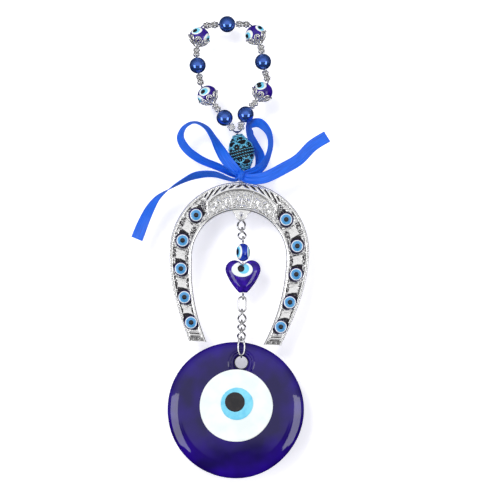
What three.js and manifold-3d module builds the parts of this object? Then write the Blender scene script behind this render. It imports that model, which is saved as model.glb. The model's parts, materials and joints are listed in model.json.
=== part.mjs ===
// Hanging evil eye ornament: a beaded hanging loop, a carved drop bead with a ribbon bow,
// a horseshoe casting, and below it a heart bead and a large glass eye disc on a wire chain.
// Millimetres. +Z is up, +X is to the right and -Y is the front. The origin is the hanging
// point, where a nail carries the loop just under its top pearl.

import * as THREE from 'three';
import { mergeVertices } from 'three/addons/utils/BufferGeometryUtils.js';
import Module from 'manifold-3d';

const wasm = await Module();
wasm.setup();

// ---------------------------------------------------------------- driving dimensions

const GAP = 0.3;                    // clearance between pieces that touch or turn on each other

const PEARL_DIAMETER = 8;
const EYE_BEAD_DIAMETER = 10;
const EYE_BEAD_LENGTH = 9;
const EYE_BEAD_LEAN = 0.6;          // 0 leans along the loop, 1 down towards the bead below
const WHIPPING_RADIUS = 0.95;       // the binding that ties the cord's two ends
const WHIPPING_HEIGHT = 1.1;
const CORD_DIAMETER = 0.8;
const CORD_BEND_ROOM = 0.4;         // more bore where the cord curves from bead to bead
const CAP_REACH = 1.2;              // how far a petal cap stands out beyond its bead
const CAP_DIAMETER = 9.4;
const BARE_END_ROOM = 0.9;          // straight cord at an eye bead's end that has no cap
const CAP_WALL = 0.45;
const SPACER_DIAMETER = 3.6;
const SPACER_WAIST = 3;
const SPACER_END_ROOM = 0.8;       // a spacer's flat end against a round bead, at either end

const DROP_LENGTH = 18;
const DROP_DIAMETER = 13;
const STEM_DIAMETER = 1.4;          // the two cord ends side by side
const STEM_RING_WIRE = 0.9;
const TIE_SPREAD = 1.0;             // distance between the two cord ends above the drop bead
const TIE_RISE = 0.9;               // from the tie up to the first spacers

const RIBBON_WIDTH = 6;
const RIBBON_THICKNESS = 0.4;
const KNOT_WIDTH = 5.4;
const KNOT_HEIGHT = 4.8;
const KNOT_DEPTH = 3.8;

const SHOE_RADIUS = 34.8;           // outer half width of the horseshoe
const SHOE_HEIGHT = 80.6;
const SHOE_THICKNESS = 4;
const SHOE_TOP_BAND = 13.9;         // height of the casting at its crown
const ARM_WIDTH = 11.1;
const FOOT_OUTER = 22.9;            // foot corners, from the centre line
const FOOT_INNER = 14.3;
const SHOE_LEAN = THREE.MathUtils.degToRad(2.8);
const RIM_WIDTH = 1.7;
const CHANNEL_DEPTH = 0.9;
const CROWN_PANEL_DEPTH = 0.6;
const BLOCK_SIZE = 2.6;
const CABOCHON_DIAMETER = 6.8;
const CABOCHON_HEIGHT = 2.4;
const SEAT_DEPTH = 1.5;
const CABOCHONS_PER_ARM = 5;
const LUG_RADIUS = 2.8;
const LUG_HOLE_DIAMETER = 2.6;
const LUG_THICKNESS = 1.6;
const EYE_HOLE_DIAMETER = 2.4;
const EYE_RIM = 1.0;

const WIRE = 0.9;
const LINK_WIDTH = 4.7;
const TWIST_SHARE = 0.6;            // how much of a link's length its twist takes
const PIN_LOOP_DIAMETER = 3.4;
const PIN_BORE = 1.5;
const FLAT_BEAD_DIAMETER = 9.2;
const FLAT_BEAD_WIDTH = 6.8;
const HEART_LOBE_RADIUS = 4.6;
const HEART_LOBE_OFFSET = 4.2;
const HEART_HEIGHT = 16.2;
const HEART_TIP_WIDTH = 4;
const HEART_DEPTH = 7;
const HEART_ROUNDING = 1.6;

const DISC_DIAMETER = 68;
const DISC_FRONT = 4.2;             // how far the dome stands forward of the disc's mid plane
const DISC_BACK = 2.6;
const DISC_HOLE_DIAMETER = 7.6;
const DISC_HOLE_RIM = 6.5;          // glass between the disc's edge and the hole
const DISC_SHIFT = -2.9;            // the hole isn't quite above the disc's centre
const WHITE_DIAMETER = 36.3;
const IRIS_DIAMETER = 16.2;
const PUPIL_DIAMETER = 9.8;
const INLAY_DEPTH = 1.2;
const DISC_BELOW_FEET = -1.8;       // the disc's top edge against the level of the feet
const LEAST_CHAIN = 18;             // the lower chain's links are never closer than this in all
const BAIL_RAISE = 2.3;             // the bail's highest wire above the disc's edge
const BAIL_TUCK = 0.5;              // the bail's ring lies in the glass's low shoulder
const INLAY_PROUD = 0.1;            // the white round against the dome's highest point
const INLAY_STEP = 0.3;             // each smaller round stands this much further forward
const IRIS_DEPTH = 0.7;
const PUPIL_DEPTH = 0.6;

// ---------------------------------------------------------------- materials

function finish(colour, roughness, metalness = 0) {
  return new THREE.MeshStandardMaterial({ color: colour, roughness, metalness });
}

const silver = finish(0xd9dade, 0.25, 1);
const pearlBlue = finish(0x1b3fa8, 0.2, 0.6);
const cobaltGlass = finish(0x230a78, 0.06);
const whiteGlass = finish(0xf1f4f8, 0.12);
const skyGlass = finish(0x5aa9e6, 0.12);
const blackGlass = finish(0x0b0b10, 0.1);
const satin = finish(0x1550d8, 0.45);
const antiqueTeal = finish(0x2c6f86, 0.45, 0.3);
const thread = finish(0x2a3a70, 0.8);

// ---------------------------------------------------------------- solids and booleans

function facingOut(geometry) {
  const bare = geometry.clone();
  bare.deleteAttribute('normal');
  if (bare.hasAttribute('uv')) bare.deleteAttribute('uv');
  const merged = mergeVertices(bare, 1e-5);
  const place = merged.attributes.position;
  const index = Array.from(merged.index.array);
  const kept = [];
  const a = new THREE.Vector3();
  const b = new THREE.Vector3();
  const c = new THREE.Vector3();
  let volume = 0;
  for (let i = 0; i < index.length; i += 3) {
    const [p, q, r] = index.slice(i, i + 3);
    if (p === q || q === r || r === p) continue;
    a.fromBufferAttribute(place, p);
    b.fromBufferAttribute(place, q);
    c.fromBufferAttribute(place, r);
    volume += a.dot(b.cross(c));
    kept.push(p, q, r);
  }
  if (volume < 0) {
    for (let i = 0; i < kept.length; i += 3) [kept[i], kept[i + 1]] = [kept[i + 1], kept[i]];
  }
  merged.setIndex(kept);
  return merged;
}

function solid(geometry) {
  const closed = facingOut(geometry);
  return new wasm.Manifold(new wasm.Mesh({
    numProp: 3,
    vertProperties: new Float32Array(closed.attributes.position.array),
    triVerts: new Uint32Array(closed.index.array),
  }));
}

function geometryOf(body) {
  const mesh = body.getMesh();
  const geometry = new THREE.BufferGeometry();
  geometry.setAttribute('position', new THREE.BufferAttribute(mesh.vertProperties, 3));
  geometry.setIndex(new THREE.BufferAttribute(mesh.triVerts, 1));
  geometry.computeVertexNormals();
  return geometry;
}

function piece(name, geometry, material) {
  const mesh = new THREE.Mesh(geometry, material);
  mesh.name = name;
  return mesh;
}

function add(parent, ...children) {
  parent.add(...children);
  return parent;
}

// ---------------------------------------------------------------- shapes used more than once

const UP = new THREE.Vector3(0, 1, 0);

function turned(profile, segments) {
  return facingOut(new THREE.LatheGeometry(profile, segments));
}

function ellipseProfile(radius, halfLength, bore, steps) {
  // Half an ellipse round the turning axis, cut off where it meets the bore.
  const start = Math.asin(bore / radius);
  const points = [];
  for (let i = 0; i <= steps; i++) {
    const angle = start + (Math.PI - 2 * start) * i / steps;
    points.push(new THREE.Vector2(radius * Math.sin(angle), -halfLength * Math.cos(angle)));
  }
  points.push(points[0].clone());
  return points;
}

function boredBead(diameter, length, bore, segments, steps) {
  return turned(ellipseProfile(diameter / 2, length / 2, bore / 2, steps), segments);
}

function roundSection(radius, sides) {
  const shape = new THREE.Shape();
  for (let i = 0; i < sides; i++) {
    const angle = 2 * Math.PI * i / sides;
    const x = radius * Math.cos(angle);
    const y = radius * Math.sin(angle);
    if (i) shape.lineTo(x, y);
    else shape.moveTo(x, y);
  }
  shape.closePath();
  return shape;
}

function wireAlong(points, diameter, steps, sides = 8) {
  const path = new THREE.CatmullRomCurve3(points, false, 'centripetal');
  const settings = { steps, extrudePath: path, bevelEnabled: false };
  return new THREE.ExtrudeGeometry(roundSection(diameter / 2, sides), settings);
}

function standingRing(width, height, wire, twist = 0, segments = 14) {
  // An oval wire ring in the XZ plane, centred. A twisted ring turns edge-on towards its top.
  const radius = (width - wire) / 2;
  const stretch = (height - width) / 2;
  const ring = new THREE.TorusGeometry(radius, wire / 2, 8, segments);
  ring.rotateZ(Math.PI / segments);
  const place = ring.attributes.position;
  const reach = height / 2 - wire;
  for (let i = 0; i < place.count; i++) {
    const x = place.getX(i);
    const up = place.getY(i) + Math.sign(place.getY(i)) * stretch;
    const depth = place.getZ(i);
    const turn = twist * THREE.MathUtils.smoothstep(up, -reach * TWIST_SHARE, reach * TWIST_SHARE);
    place.setXYZ(i, x * Math.cos(turn) - depth * Math.sin(turn),
      x * Math.sin(turn) + depth * Math.cos(turn), up);
  }
  return facingOut(ring);
}

function plate(outline, front, back) {
  // A flat outline in X and Z, filled between two depths.
  const shape = new THREE.Shape(outline.map(([x, z]) => new THREE.Vector2(x, z)));
  const body = new THREE.ExtrudeGeometry(shape, { depth: back - front, bevelEnabled: false });
  body.rotateX(Math.PI / 2);
  body.translate(0, back, 0);
  return body;
}

function roundPlate(x, z, diameter, front, back, sides = 18) {
  const body = new THREE.CylinderGeometry(diameter / 2, diameter / 2, back - front, sides);
  body.translate(x, (front + back) / 2, z);
  return body;
}

function strip(route, width, thickness, stepsPerPoint) {
  // A flat strip along a route of [x, y, z, turn]: at turn 0 its face looks to the front,
  // and at 90 degrees it stands on edge.
  const path = new THREE.CatmullRomCurve3(
    route.map(([x, y, z]) => new THREE.Vector3(x, y, z)), false, 'centripetal');
  const steps = (route.length - 1) * stepsPerPoint;
  const depth = new THREE.Vector3(0, 1, 0);
  const corners = [];
  for (let i = 0; i <= steps; i++) {
    const at = i / steps;
    const spot = Math.min(Math.floor(at * (route.length - 1)), route.length - 2);
    const share = at * (route.length - 1) - spot;
    const degrees = THREE.MathUtils.lerp(route[spot][3], route[spot + 1][3], share);
    const turn = THREE.MathUtils.degToRad(degrees);
    const centre = path.getPoint(at);
    const along = path.getTangent(at);
    const side = new THREE.Vector3().crossVectors(along, depth).normalize();
    const across = side.multiplyScalar(Math.cos(turn)).addScaledVector(depth, Math.sin(turn));
    across.addScaledVector(along, -across.dot(along)).normalize();
    const face = new THREE.Vector3().crossVectors(along, across).normalize();
    for (const [u, v] of [[-1, -1], [1, -1], [1, 1], [-1, 1]]) {
      const corner = centre.clone().addScaledVector(across, u * width / 2);
      corners.push(...corner.addScaledVector(face, v * thickness / 2).toArray());
    }
  }
  const index = [0, 1, 2, 0, 2, 3];
  for (let i = 0; i < steps; i++) {
    for (let k = 0; k < 4; k++) {
      const a = 4 * i + k;
      const b = 4 * i + (k + 1) % 4;
      index.push(a, a + 4, b, b, a + 4, b + 4);
    }
  }
  const last = 4 * steps;
  index.push(last, last + 2, last + 1, last, last + 3, last + 2);
  const geometry = new THREE.BufferGeometry();
  geometry.setAttribute('position', new THREE.Float32BufferAttribute(corners, 3));
  geometry.setIndex(index);
  return facingOut(geometry);
}

// ---------------------------------------------------------------- the beaded hanging loop

const CORD_BORE = CORD_DIAMETER + 2 * GAP;
const CURVE_BORE = CORD_BORE + 2 * CORD_BEND_ROOM;
const TIE_POINT = new THREE.Vector3(4.5, 0, -49.6);   // where the cord's ends come together

// Beads in order round the loop from its lower left, with their centres chosen by hand.
const LOOP_BEADS = [
  ['pearl_lower_left', 'pearl', -1.7, -42.4],
  ['eye_bead_lower_left', 'eye', -10.4, -30.9],
  ['pearl_left', 'pearl', -15.2, -16.2],
  ['eye_bead_upper_left', 'eye', -14.2, -1.6],
  ['pearl_top', 'pearl', -0.4, 4.4],
  ['eye_bead_upper_right', 'eye', 13.6, -0.6],
  ['pearl_right', 'pearl', 17.5, -14.4],
  ['eye_bead_lower_right', 'eye', 17.4, -29.1],
  ['pearl_lower_right', 'pearl', 8.8, -40.7],
];

function strungBeads() {
  const rows = LOOP_BEADS.map(([name, kind, x, z]) => ({
    name, kind, centre: new THREE.Vector3(x, 0, z),
    half: kind === 'pearl' ? PEARL_DIAMETER / 2 : EYE_BEAD_LENGTH / 2,
  }));
  rows.forEach((row, i) => {
    const before = i ? rows[i - 1].centre : TIE_POINT;
    const after = i < rows.length - 1 ? rows[i + 1].centre : TIE_POINT;
    row.along = after.clone().sub(before).normalize();
    // The cap sits on whichever end of an eye bead is the lower one. The bead leans so that
    // the cap's end points down the cord.
    row.capEnd = row.along.z > 0 ? -1 : 1;
    if (row.kind === 'eye') {
      const below = row.capEnd < 0 ? before : after;
      const down = below.clone().sub(row.centre).normalize().multiplyScalar(row.capEnd);
      row.along.lerp(down, EYE_BEAD_LEAN).normalize();
    }
    row.entry = row.centre.clone().addScaledVector(row.along, -row.half);
    row.exit = row.centre.clone().addScaledVector(row.along, row.half);
    // The cord stays straight as far as the cap's end, and a little way at the other end.
    if (row.kind === 'eye') {
      const [capped, bare] = row.capEnd < 0 ? [row.entry, row.exit] : [row.exit, row.entry];
      capped.addScaledVector(row.along, row.capEnd * CAP_REACH);
      bare.addScaledVector(row.along, -row.capEnd * BARE_END_ROOM);
    }
  });
  return rows;
}

function beadCap() {
  // A thin bowl that hugs the end of an eye bead, with a collar round the cord.
  const radius = EYE_BEAD_DIAMETER / 2 + GAP;
  const halfLength = EYE_BEAD_LENGTH / 2 + GAP;
  const steps = 4;
  const widest = Math.asin(CAP_DIAMETER / 2 / (radius + CAP_WALL));
  const narrowest = Math.asin(CURVE_BORE / 2 / radius);
  const inner = [];
  const outer = [];
  for (let i = 0; i <= steps; i++) {
    const angle = THREE.MathUtils.lerp(widest, narrowest, i / steps);
    inner.push(new THREE.Vector2(radius * Math.sin(angle), halfLength * Math.cos(angle)));
    outer.unshift(new THREE.Vector2((radius + CAP_WALL) * Math.sin(angle),
      (halfLength + CAP_WALL) * Math.cos(angle)));
  }
  const top = EYE_BEAD_LENGTH / 2 + CAP_REACH;
  const collar = CURVE_BORE / 2 + 0.5;
  const profile = [...inner, new THREE.Vector2(CURVE_BORE / 2, top), new THREE.Vector2(collar, top)];
  profile.push(...outer.filter((point) => point.x > collar), inner[0].clone());
  return turned(profile, 12);
}

function spacerPair(length) {
  // Two small rondelles end to end on one sleeve.
  const bore = CURVE_BORE / 2;
  const half = length / 2;
  const rim = SPACER_DIAMETER / 2;
  const end = SPACER_WAIST / 2;
  const profile = [
    [bore, -half], [end, -half], [rim, -half * 0.66], [rim, -half * 0.36], [end, 0],
    [rim, half * 0.36], [rim, half * 0.66], [end, half], [bore, half], [bore, -half],
  ];
  return turned(profile.map(([x, y]) => new THREE.Vector2(x, y)), 8);
}

function turnTo(mesh, direction) {
  mesh.quaternion.setFromUnitVectors(UP, direction);
  return mesh;
}

function besideTie(side) {
  // Where the lowest spacer on either side ends, just above the tie.
  const aside = side * (SPACER_DIAMETER + GAP) / 2;
  return TIE_POINT.clone().add(new THREE.Vector3(aside, 0, TIE_RISE));
}

function cord(beads) {
  const start = TIE_POINT.clone().add(new THREE.Vector3(-TIE_SPREAD / 2, 0, 0));
  const finishPoint = TIE_POINT.clone().add(new THREE.Vector3(TIE_SPREAD / 2, 0, 0));
  const points = [start, besideTie(-1)];
  for (const bead of beads) points.push(bead.entry, bead.centre, bead.exit);
  points.push(besideTie(1), finishPoint);
  const loop = solid(wireAlong(points, CORD_DIAMETER, 72));
  const whipping = new THREE.CylinderGeometry(WHIPPING_RADIUS, WHIPPING_RADIUS, WHIPPING_HEIGHT, 12);
  whipping.rotateX(Math.PI / 2);
  whipping.translate(TIE_POINT.x, TIE_POINT.y, TIE_POINT.z);
  return geometryOf(loop.add(solid(whipping)));
}

function hangingLoop() {
  const group = new THREE.Group();
  const beads = strungBeads();
  group.add(piece('stringing_cord', cord(beads), thread));
  for (const bead of beads) {
    const pearl = bead.kind === 'pearl';
    const body = pearl
      ? boredBead(PEARL_DIAMETER, PEARL_DIAMETER, CORD_BORE, 16, 8)
      : boredBead(EYE_BEAD_DIAMETER, EYE_BEAD_LENGTH, CURVE_BORE, 18, 8);
    const mesh = turnTo(piece(bead.name, body, pearl ? pearlBlue : cobaltGlass), bead.along);
    mesh.position.copy(bead.centre);
    group.add(mesh);
    if (!pearl) {
      const lowerEnd = bead.along.clone().multiplyScalar(bead.capEnd);
      const cap = turnTo(piece(bead.name.replace('eye_bead', 'petal_cap'), beadCap(), silver),
        lowerEnd);
      cap.position.copy(bead.centre);
      group.add(cap);
    }
  }
  const ends = [{ exit: besideTie(-1) }, ...beads, { entry: besideTie(1) }];
  for (let i = 0; i + 1 < ends.length; i++) {
    const from = ends[i].exit;
    const to = ends[i + 1].entry;
    const along = to.clone().sub(from);
    const length = along.length() - 2 * SPACER_END_ROOM;
    const name = `flower_spacers_${String(i + 1).padStart(2, '0')}`;
    const spacer = turnTo(piece(name, spacerPair(length), silver), along.normalize());
    spacer.position.lerpVectors(from, to, 0.5);
    group.add(spacer);
  }
  return group;
}

// ---------------------------------------------------------------- drop bead, stem and bow

const DROP_TOP = new THREE.Vector3(4.5, 0, -50.6);
const DROP_AXIS = new THREE.Vector3(0.244, 0, -0.97).normalize();

const SHOE_TOP = new THREE.Vector3(7.4, 0, -74.65);   // crown of the horseshoe
const EYE_RAISE = EYE_HOLE_DIAMETER / 2 + 0.1;        // eye hole's centre above the crown
const TOP_PIVOT = SHOE_TOP.clone().add(
  new THREE.Vector3(0, 0, EYE_RAISE + (EYE_HOLE_DIAMETER + EYE_RIM) / 2));

function dropBead() {
  // Barrel between two cones, with a plain collar at each end.
  const bore = STEM_DIAMETER / 2 + GAP;
  const radius = DROP_DIAMETER / 2;
  const half = DROP_LENGTH / 2;
  const profile = [
    [bore, -half], [0.42, -1], [0.44, -0.9], [0.78, -0.58], [0.95, -0.25], [1, -0.05], [1, 0.1],
    [0.93, 0.34], [0.72, 0.66], [0.46, 0.9], [0.44, 1], [bore, half],
  ].map(([x, y], i, all) => (
    i === 0 || i === all.length - 1
      ? new THREE.Vector2(x, y)
      : new THREE.Vector2(x * radius, y * half)));
  profile.push(profile[0].clone());
  return turned(profile, 20);
}

function stem() {
  // The doubled cord through the drop bead, ending in a ring through the horseshoe's eye.
  const top = DROP_TOP.clone();
  const bottom = DROP_TOP.clone().addScaledVector(DROP_AXIS, DROP_LENGTH + 2 * GAP);
  const straight = [0.5, 0.93].map((share) => top.clone().lerp(bottom, share));
  const ringRadius = Math.hypot(EYE_RIM / 2, LUG_THICKNESS / 2) + GAP + STEM_RING_WIRE / 2;
  const ringTop = TOP_PIVOT.clone().add(new THREE.Vector3(0, 0, ringRadius));
  const rod = solid(wireAlong([top, ...straight, bottom, ringTop], STEM_DIAMETER, 14));
  const ring = new THREE.TorusGeometry(ringRadius, STEM_RING_WIRE / 2, 8, 16);
  ring.rotateY(Math.PI / 2);
  ring.translate(TOP_PIVOT.x, TOP_PIVOT.y, TOP_PIVOT.z);
  return geometryOf(rod.add(solid(ring)));
}

const KNOT_CENTRE = new THREE.Vector3(6.4, -4.7, -71.3);

// Ribbon routes: x, y, z and the turn of the strip's face in degrees.
const LEFT_LOOP = [
  [2.8, -4.4, -70.8, 60], [-4.0, -4.6, -67.4, 55], [-13.9, -3.8, -63.2, 52],
  [-20.9, -3.0, -57.8, 48], [-23.7, -2.4, -52.2, 55], [-21.7, -2.0, -47.2, 70],
  [-16.8, -2.0, -44.8, 80], [-11.2, -2.6, -47.2, 70], [-7.5, -3.6, -52.2, 62],
  [-4.0, -5.0, -58.4, 35], [-0.5, -6.0, -64.0, 5], [3.6, -6.0, -68.4, 0],
];
const RIGHT_LOOP = [
  [10.9, -1.6, -71.2, 50], [15.4, 1.6, -67.8, 40], [16.0, 4.6, -61.5, 40],
  [13.2, 6.9, -55.5, 45], [11.0, 6.7, -49.8, 60], [11.3, 3.8, -45.8, 60],
  [15.6, -0.4, -45.2, 40], [19.6, -2.6, -48.9, 55], [21.2, -3.4, -54.2, 66],
  [20.3, -4.0, -60.6, 68], [17.4, -4.4, -66.2, 50], [13.6, -3.8, -69.2, 35],
  [10.2, -3.6, -70.4, 30],
];
const LEFT_TAIL = [
  [2.9, -4.4, -73.5, 75], [-6.8, -4.6, -70.7, 62], [-15.3, -4.4, -71.1, 55],
  [-22.3, -4.2, -73.9, 72], [-29.3, -4.0, -78.1, 90], [-34.9, -3.6, -82.3, 115],
  [-38.5, -3.2, -87.2, 135], [-42.0, -2.6, -94.2, 155], [-45.5, -2.0, -103.0, 175],
];
const RIGHT_TAIL = [
  [9.8, -6.0, -73.0, 20], [17.7, -7.2, -72.6, 8], [28.2, -6.6, -67.6, 5],
  [35.2, -5.4, -63.4, 0], [42.2, -4.2, -56.4, 0], [49.5, -3.2, -51.8, 0],
];

function bow() {
  const group = new THREE.Group();
  const knot = new THREE.SphereGeometry(0.5, 16, 10);
  knot.scale(KNOT_WIDTH, KNOT_DEPTH, KNOT_HEIGHT);
  knot.translate(KNOT_CENTRE.x, KNOT_CENTRE.y, KNOT_CENTRE.z);
  group.add(piece('ribbon_knot', facingOut(knot), satin));
  const routes = {
    ribbon_loop_left: LEFT_LOOP, ribbon_loop_right: RIGHT_LOOP,
    ribbon_tail_left: LEFT_TAIL, ribbon_tail_right: RIGHT_TAIL,
  };
  for (const [name, route] of Object.entries(routes)) {
    group.add(piece(name, strip(route, RIBBON_WIDTH, RIBBON_THICKNESS, 3), satin));
  }
  return group;
}

function dropAssembly() {
  const group = new THREE.Group();
  const bead = turnTo(piece('drop_bead', dropBead(), antiqueTeal), DROP_AXIS.clone().negate());
  bead.position.copy(DROP_TOP).addScaledVector(DROP_AXIS, DROP_LENGTH / 2 + GAP);
  return add(group, bead, piece('stem_cord', stem(), thread), bow());
}

// ---------------------------------------------------------------- horseshoe, in its own frame
// Its frame's origin is the middle of the crown's outer edge, and z runs up, so the feet are at
// -SHOE_HEIGHT.

const INNER_RADIUS = SHOE_RADIUS - ARM_WIDTH;
const INNER_CENTRE = SHOE_TOP_BAND + INNER_RADIUS;    // depth of the inner arc's centre
const FRONT = -SHOE_THICKNESS / 2;
const BACK = SHOE_THICKNESS / 2;
const ARC_STEPS = 14;
const LEG_STEPS = 11;

function edge(radius, centreDepth, foot, reach) {
  // One half of an edge: a quarter circle from the crown and a curve down to the foot.
  const points = [];
  for (let i = 0; i <= ARC_STEPS; i++) {
    const angle = Math.PI / 2 * i / ARC_STEPS;
    points.push([radius * Math.sin(angle), -centreDepth + radius * Math.cos(angle)]);
  }
  const drop = SHOE_HEIGHT - centreDepth;
  const leg = new THREE.CubicBezierCurve(
    new THREE.Vector2(radius, -centreDepth),
    new THREE.Vector2(radius, -centreDepth - drop * 0.37),
    new THREE.Vector2(THREE.MathUtils.lerp(foot, radius, reach), -SHOE_HEIGHT + drop * 0.32),
    new THREE.Vector2(foot, -SHOE_HEIGHT));
  for (const point of leg.getPoints(LEG_STEPS).slice(1)) points.push([point.x, point.y]);
  return points;
}

const OUTER_EDGE = edge(SHOE_RADIUS, SHOE_RADIUS, FOOT_OUTER, 0.52);
const INNER_EDGE = edge(INNER_RADIUS, INNER_CENTRE, FOOT_INNER, 0.68);

function mix(from, to, share) {
  return from.map((value, i) => value + (to[i] - value) * share);
}

function across(row, fromOuter) {
  // A point at a distance from the outer edge, on the line across the casting at a row.
  const place = Math.min(Math.max(row, 0), OUTER_EDGE.length - 1);
  const low = Math.min(Math.floor(place), OUTER_EDGE.length - 2);
  const outer = mix(OUTER_EDGE[low], OUTER_EDGE[low + 1], place - low);
  const inner = mix(INNER_EDGE[low], INNER_EDGE[low + 1], place - low);
  const width = Math.hypot(outer[0] - inner[0], outer[1] - inner[1]);
  return mix(outer, inner, fromOuter(width) / width);
}

function band(firstRow, lastRow, fromOuter, toOuter) {
  const outer = [];
  const inner = [];
  for (let row = firstRow; row <= lastRow; row += 1) {
    outer.push(across(row, fromOuter));
    inner.unshift(across(row, toOuter));
  }
  return [...outer, ...inner];
}

function mirrored(points) {
  return points.map(([x, z]) => [-x, z]).reverse();
}

const LAST_ROW = ARC_STEPS + LEG_STEPS;
const FIRST_CABOCHON_ROW = ARC_STEPS * 0.56;
const LAST_CABOCHON_ROW = ARC_STEPS + LEG_STEPS * 0.78;

function cabochonSpots() {
  const spots = [];
  for (let i = 0; i < CABOCHONS_PER_ARM; i++) {
    const share = i / (CABOCHONS_PER_ARM - 1);
    spots.push(THREE.MathUtils.lerp(FIRST_CABOCHON_ROW, LAST_CABOCHON_ROW, share));
  }
  return evenly(spots);
}

function evenly(rows) {
  // Moves the rows between the first and the last so that their middles are evenly apart.
  const middle = (row) => across(row, (width) => width / 2);
  const samples = [];
  let length = 0;
  for (let i = 0; i <= 60; i++) {
    const row = THREE.MathUtils.lerp(rows[0], rows[rows.length - 1], i / 60);
    const point = middle(row);
    if (i) length += Math.hypot(point[0] - samples[i - 1].point[0], point[1] - samples[i - 1].point[1]);
    samples.push({ row, point, length });
  }
  return rows.map((_, i) => {
    const want = length * i / (rows.length - 1);
    const found = samples.find((sample) => sample.length >= want - 1e-9);
    return found.row;
  });
}

const CABOCHON_ROWS = cabochonSpots();

function horseshoe() {
  const half = [...OUTER_EDGE, ...[...INNER_EDGE].reverse()];
  const right = solid(plate(half, FRONT, BACK));
  const left = solid(plate(mirrored(half), FRONT, BACK));
  const seam = solid(plate(
    [[-1, -0.3], [1, -0.3], [1, -SHOE_TOP_BAND + 0.3], [-1, -SHOE_TOP_BAND + 0.3]], FRONT, BACK));
  let body = right.add(left).add(seam);

  // The channel along each arm, with square blocks left standing between the cabochons.
  const channel = band(Math.round(FIRST_CABOCHON_ROW) - 3, LAST_ROW - 1,
    () => RIM_WIDTH, (width) => width - RIM_WIDTH);
  const panel = band(0, Math.round(FIRST_CABOCHON_ROW) - 4,
    (width) => width * 0.45, (width) => width - RIM_WIDTH);
  const tops = [
    [channel, CHANNEL_DEPTH], [mirrored(channel), CHANNEL_DEPTH],
    [panel, CROWN_PANEL_DEPTH], [mirrored(panel), CROWN_PANEL_DEPTH],
  ];
  for (const [outline, depth] of tops) {
    body = body.subtract(solid(plate(outline, FRONT - 1, FRONT + depth)));
  }
  for (let i = 0; i + 1 < CABOCHON_ROWS.length; i++) {
    const spot = across((CABOCHON_ROWS[i] + CABOCHON_ROWS[i + 1]) / 2, (width) => width / 2);
    for (const side of [-1, 1]) {
      const block = new THREE.BoxGeometry(BLOCK_SIZE, CHANNEL_DEPTH + 0.5, BLOCK_SIZE);
      block.translate(side * spot[0], FRONT + (CHANNEL_DEPTH + 0.5) / 2, spot[1]);
      body = body.add(solid(block));
    }
  }
  for (const row of CABOCHON_ROWS) {
    const [x, z] = across(row, (width) => width / 2);
    for (const side of [-1, 1]) {
      const seat = roundPlate(side * x, z, CABOCHON_DIAMETER + 2 * GAP, FRONT - 1, FRONT + SEAT_DEPTH);
      body = body.subtract(solid(seat));
    }
  }

  // The top eye that the cord's ring goes through, and the lug under the crown.
  const eye = roundPlate(0, EYE_RAISE, EYE_HOLE_DIAMETER + 2 * EYE_RIM,
    -LUG_THICKNESS / 2, LUG_THICKNESS / 2);
  const neck = plate([[-1.6, -1], [1.6, -1], [1.6, 0.6], [-1.6, 0.6]],
    -LUG_THICKNESS / 2, LUG_THICKNESS / 2);
  const lugTop = -SHOE_TOP_BAND + 0.5;
  const lug = plate([
    [-LUG_RADIUS - 1.7, lugTop], [-LUG_RADIUS + 0.15, LUG_HOLE_DEPTH - 0.4],
    [LUG_RADIUS - 0.15, LUG_HOLE_DEPTH - 0.4], [LUG_RADIUS + 1.7, lugTop],
  ], -LUG_THICKNESS / 2, LUG_THICKNESS / 2);
  const lugEnd = roundPlate(0, LUG_HOLE_DEPTH, 2 * LUG_RADIUS, -LUG_THICKNESS / 2, LUG_THICKNESS / 2);
  body = body.add(solid(eye)).add(solid(neck)).add(solid(lug)).add(solid(lugEnd));
  body = body.subtract(solid(roundPlate(0, EYE_RAISE, EYE_HOLE_DIAMETER, -3, 3)));
  body = body.subtract(solid(roundPlate(0, LUG_HOLE_DEPTH, LUG_HOLE_DIAMETER, -3, 3)));
  return geometryOf(body);
}

function cabochon() {
  const radius = CABOCHON_DIAMETER / 2;
  const straight = CABOCHON_HEIGHT * 0.45;
  const steps = 4;
  const profile = [new THREE.Vector2(0, 0), new THREE.Vector2(radius, 0)];
  for (let i = 0; i < steps; i++) {
    const angle = Math.PI / 2 * i / steps;
    profile.push(new THREE.Vector2(radius * Math.cos(angle),
      straight + (CABOCHON_HEIGHT - straight) * Math.sin(angle)));
  }
  profile.push(new THREE.Vector2(0, CABOCHON_HEIGHT));
  const dome = turned(profile, 16);
  dome.rotateX(Math.PI);
  return dome;
}

const LUG_HOLE_DEPTH = -SHOE_TOP_BAND - 2.1;          // height of the lug hole's centre

function horseshoeAssembly() {
  const group = new THREE.Group();
  group.position.copy(SHOE_TOP);
  group.rotation.y = SHOE_LEAN;
  group.add(piece('horseshoe', horseshoe(), silver));
  const seatFloor = FRONT + SEAT_DEPTH - GAP;
  for (const [side, word] of [[-1, 'left'], [1, 'right']]) {
    CABOCHON_ROWS.forEach((row, i) => {
      const [x, z] = across(row, (width) => width / 2);
      const stone = piece(`cabochon_${word}_${i + 1}`, cabochon(), cobaltGlass);
      stone.position.set(side * x, seatFloor, z);
      group.add(stone);
    });
  }
  return group;
}

// ---------------------------------------------------------------- chain, pin beads and disc

const REACH = WIRE + GAP;           // between the centres of two wires that hang on each other

function leaned(x, z) {
  // A point of the horseshoe's frame in the ornament's frame.
  return [SHOE_TOP.x + x * Math.cos(SHOE_LEAN) + z * Math.sin(SHOE_LEAN),
    SHOE_TOP.z - x * Math.sin(SHOE_LEAN) + z * Math.cos(SHOE_LEAN)];
}

const LUG_BAR_DEPTH = LUG_HOLE_DEPTH - (LUG_HOLE_DIAMETER / 2 + LUG_RADIUS) / 2;
const [LUG_BAR_X, LUG_BAR_Z] = leaned(0, LUG_BAR_DEPTH);
const BAR_HALF = (LUG_RADIUS - LUG_HOLE_DIAMETER / 2) / 2;
const LOWEST_FOOT = leaned(FOOT_OUTER, -SHOE_HEIGHT)[1];

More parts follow.
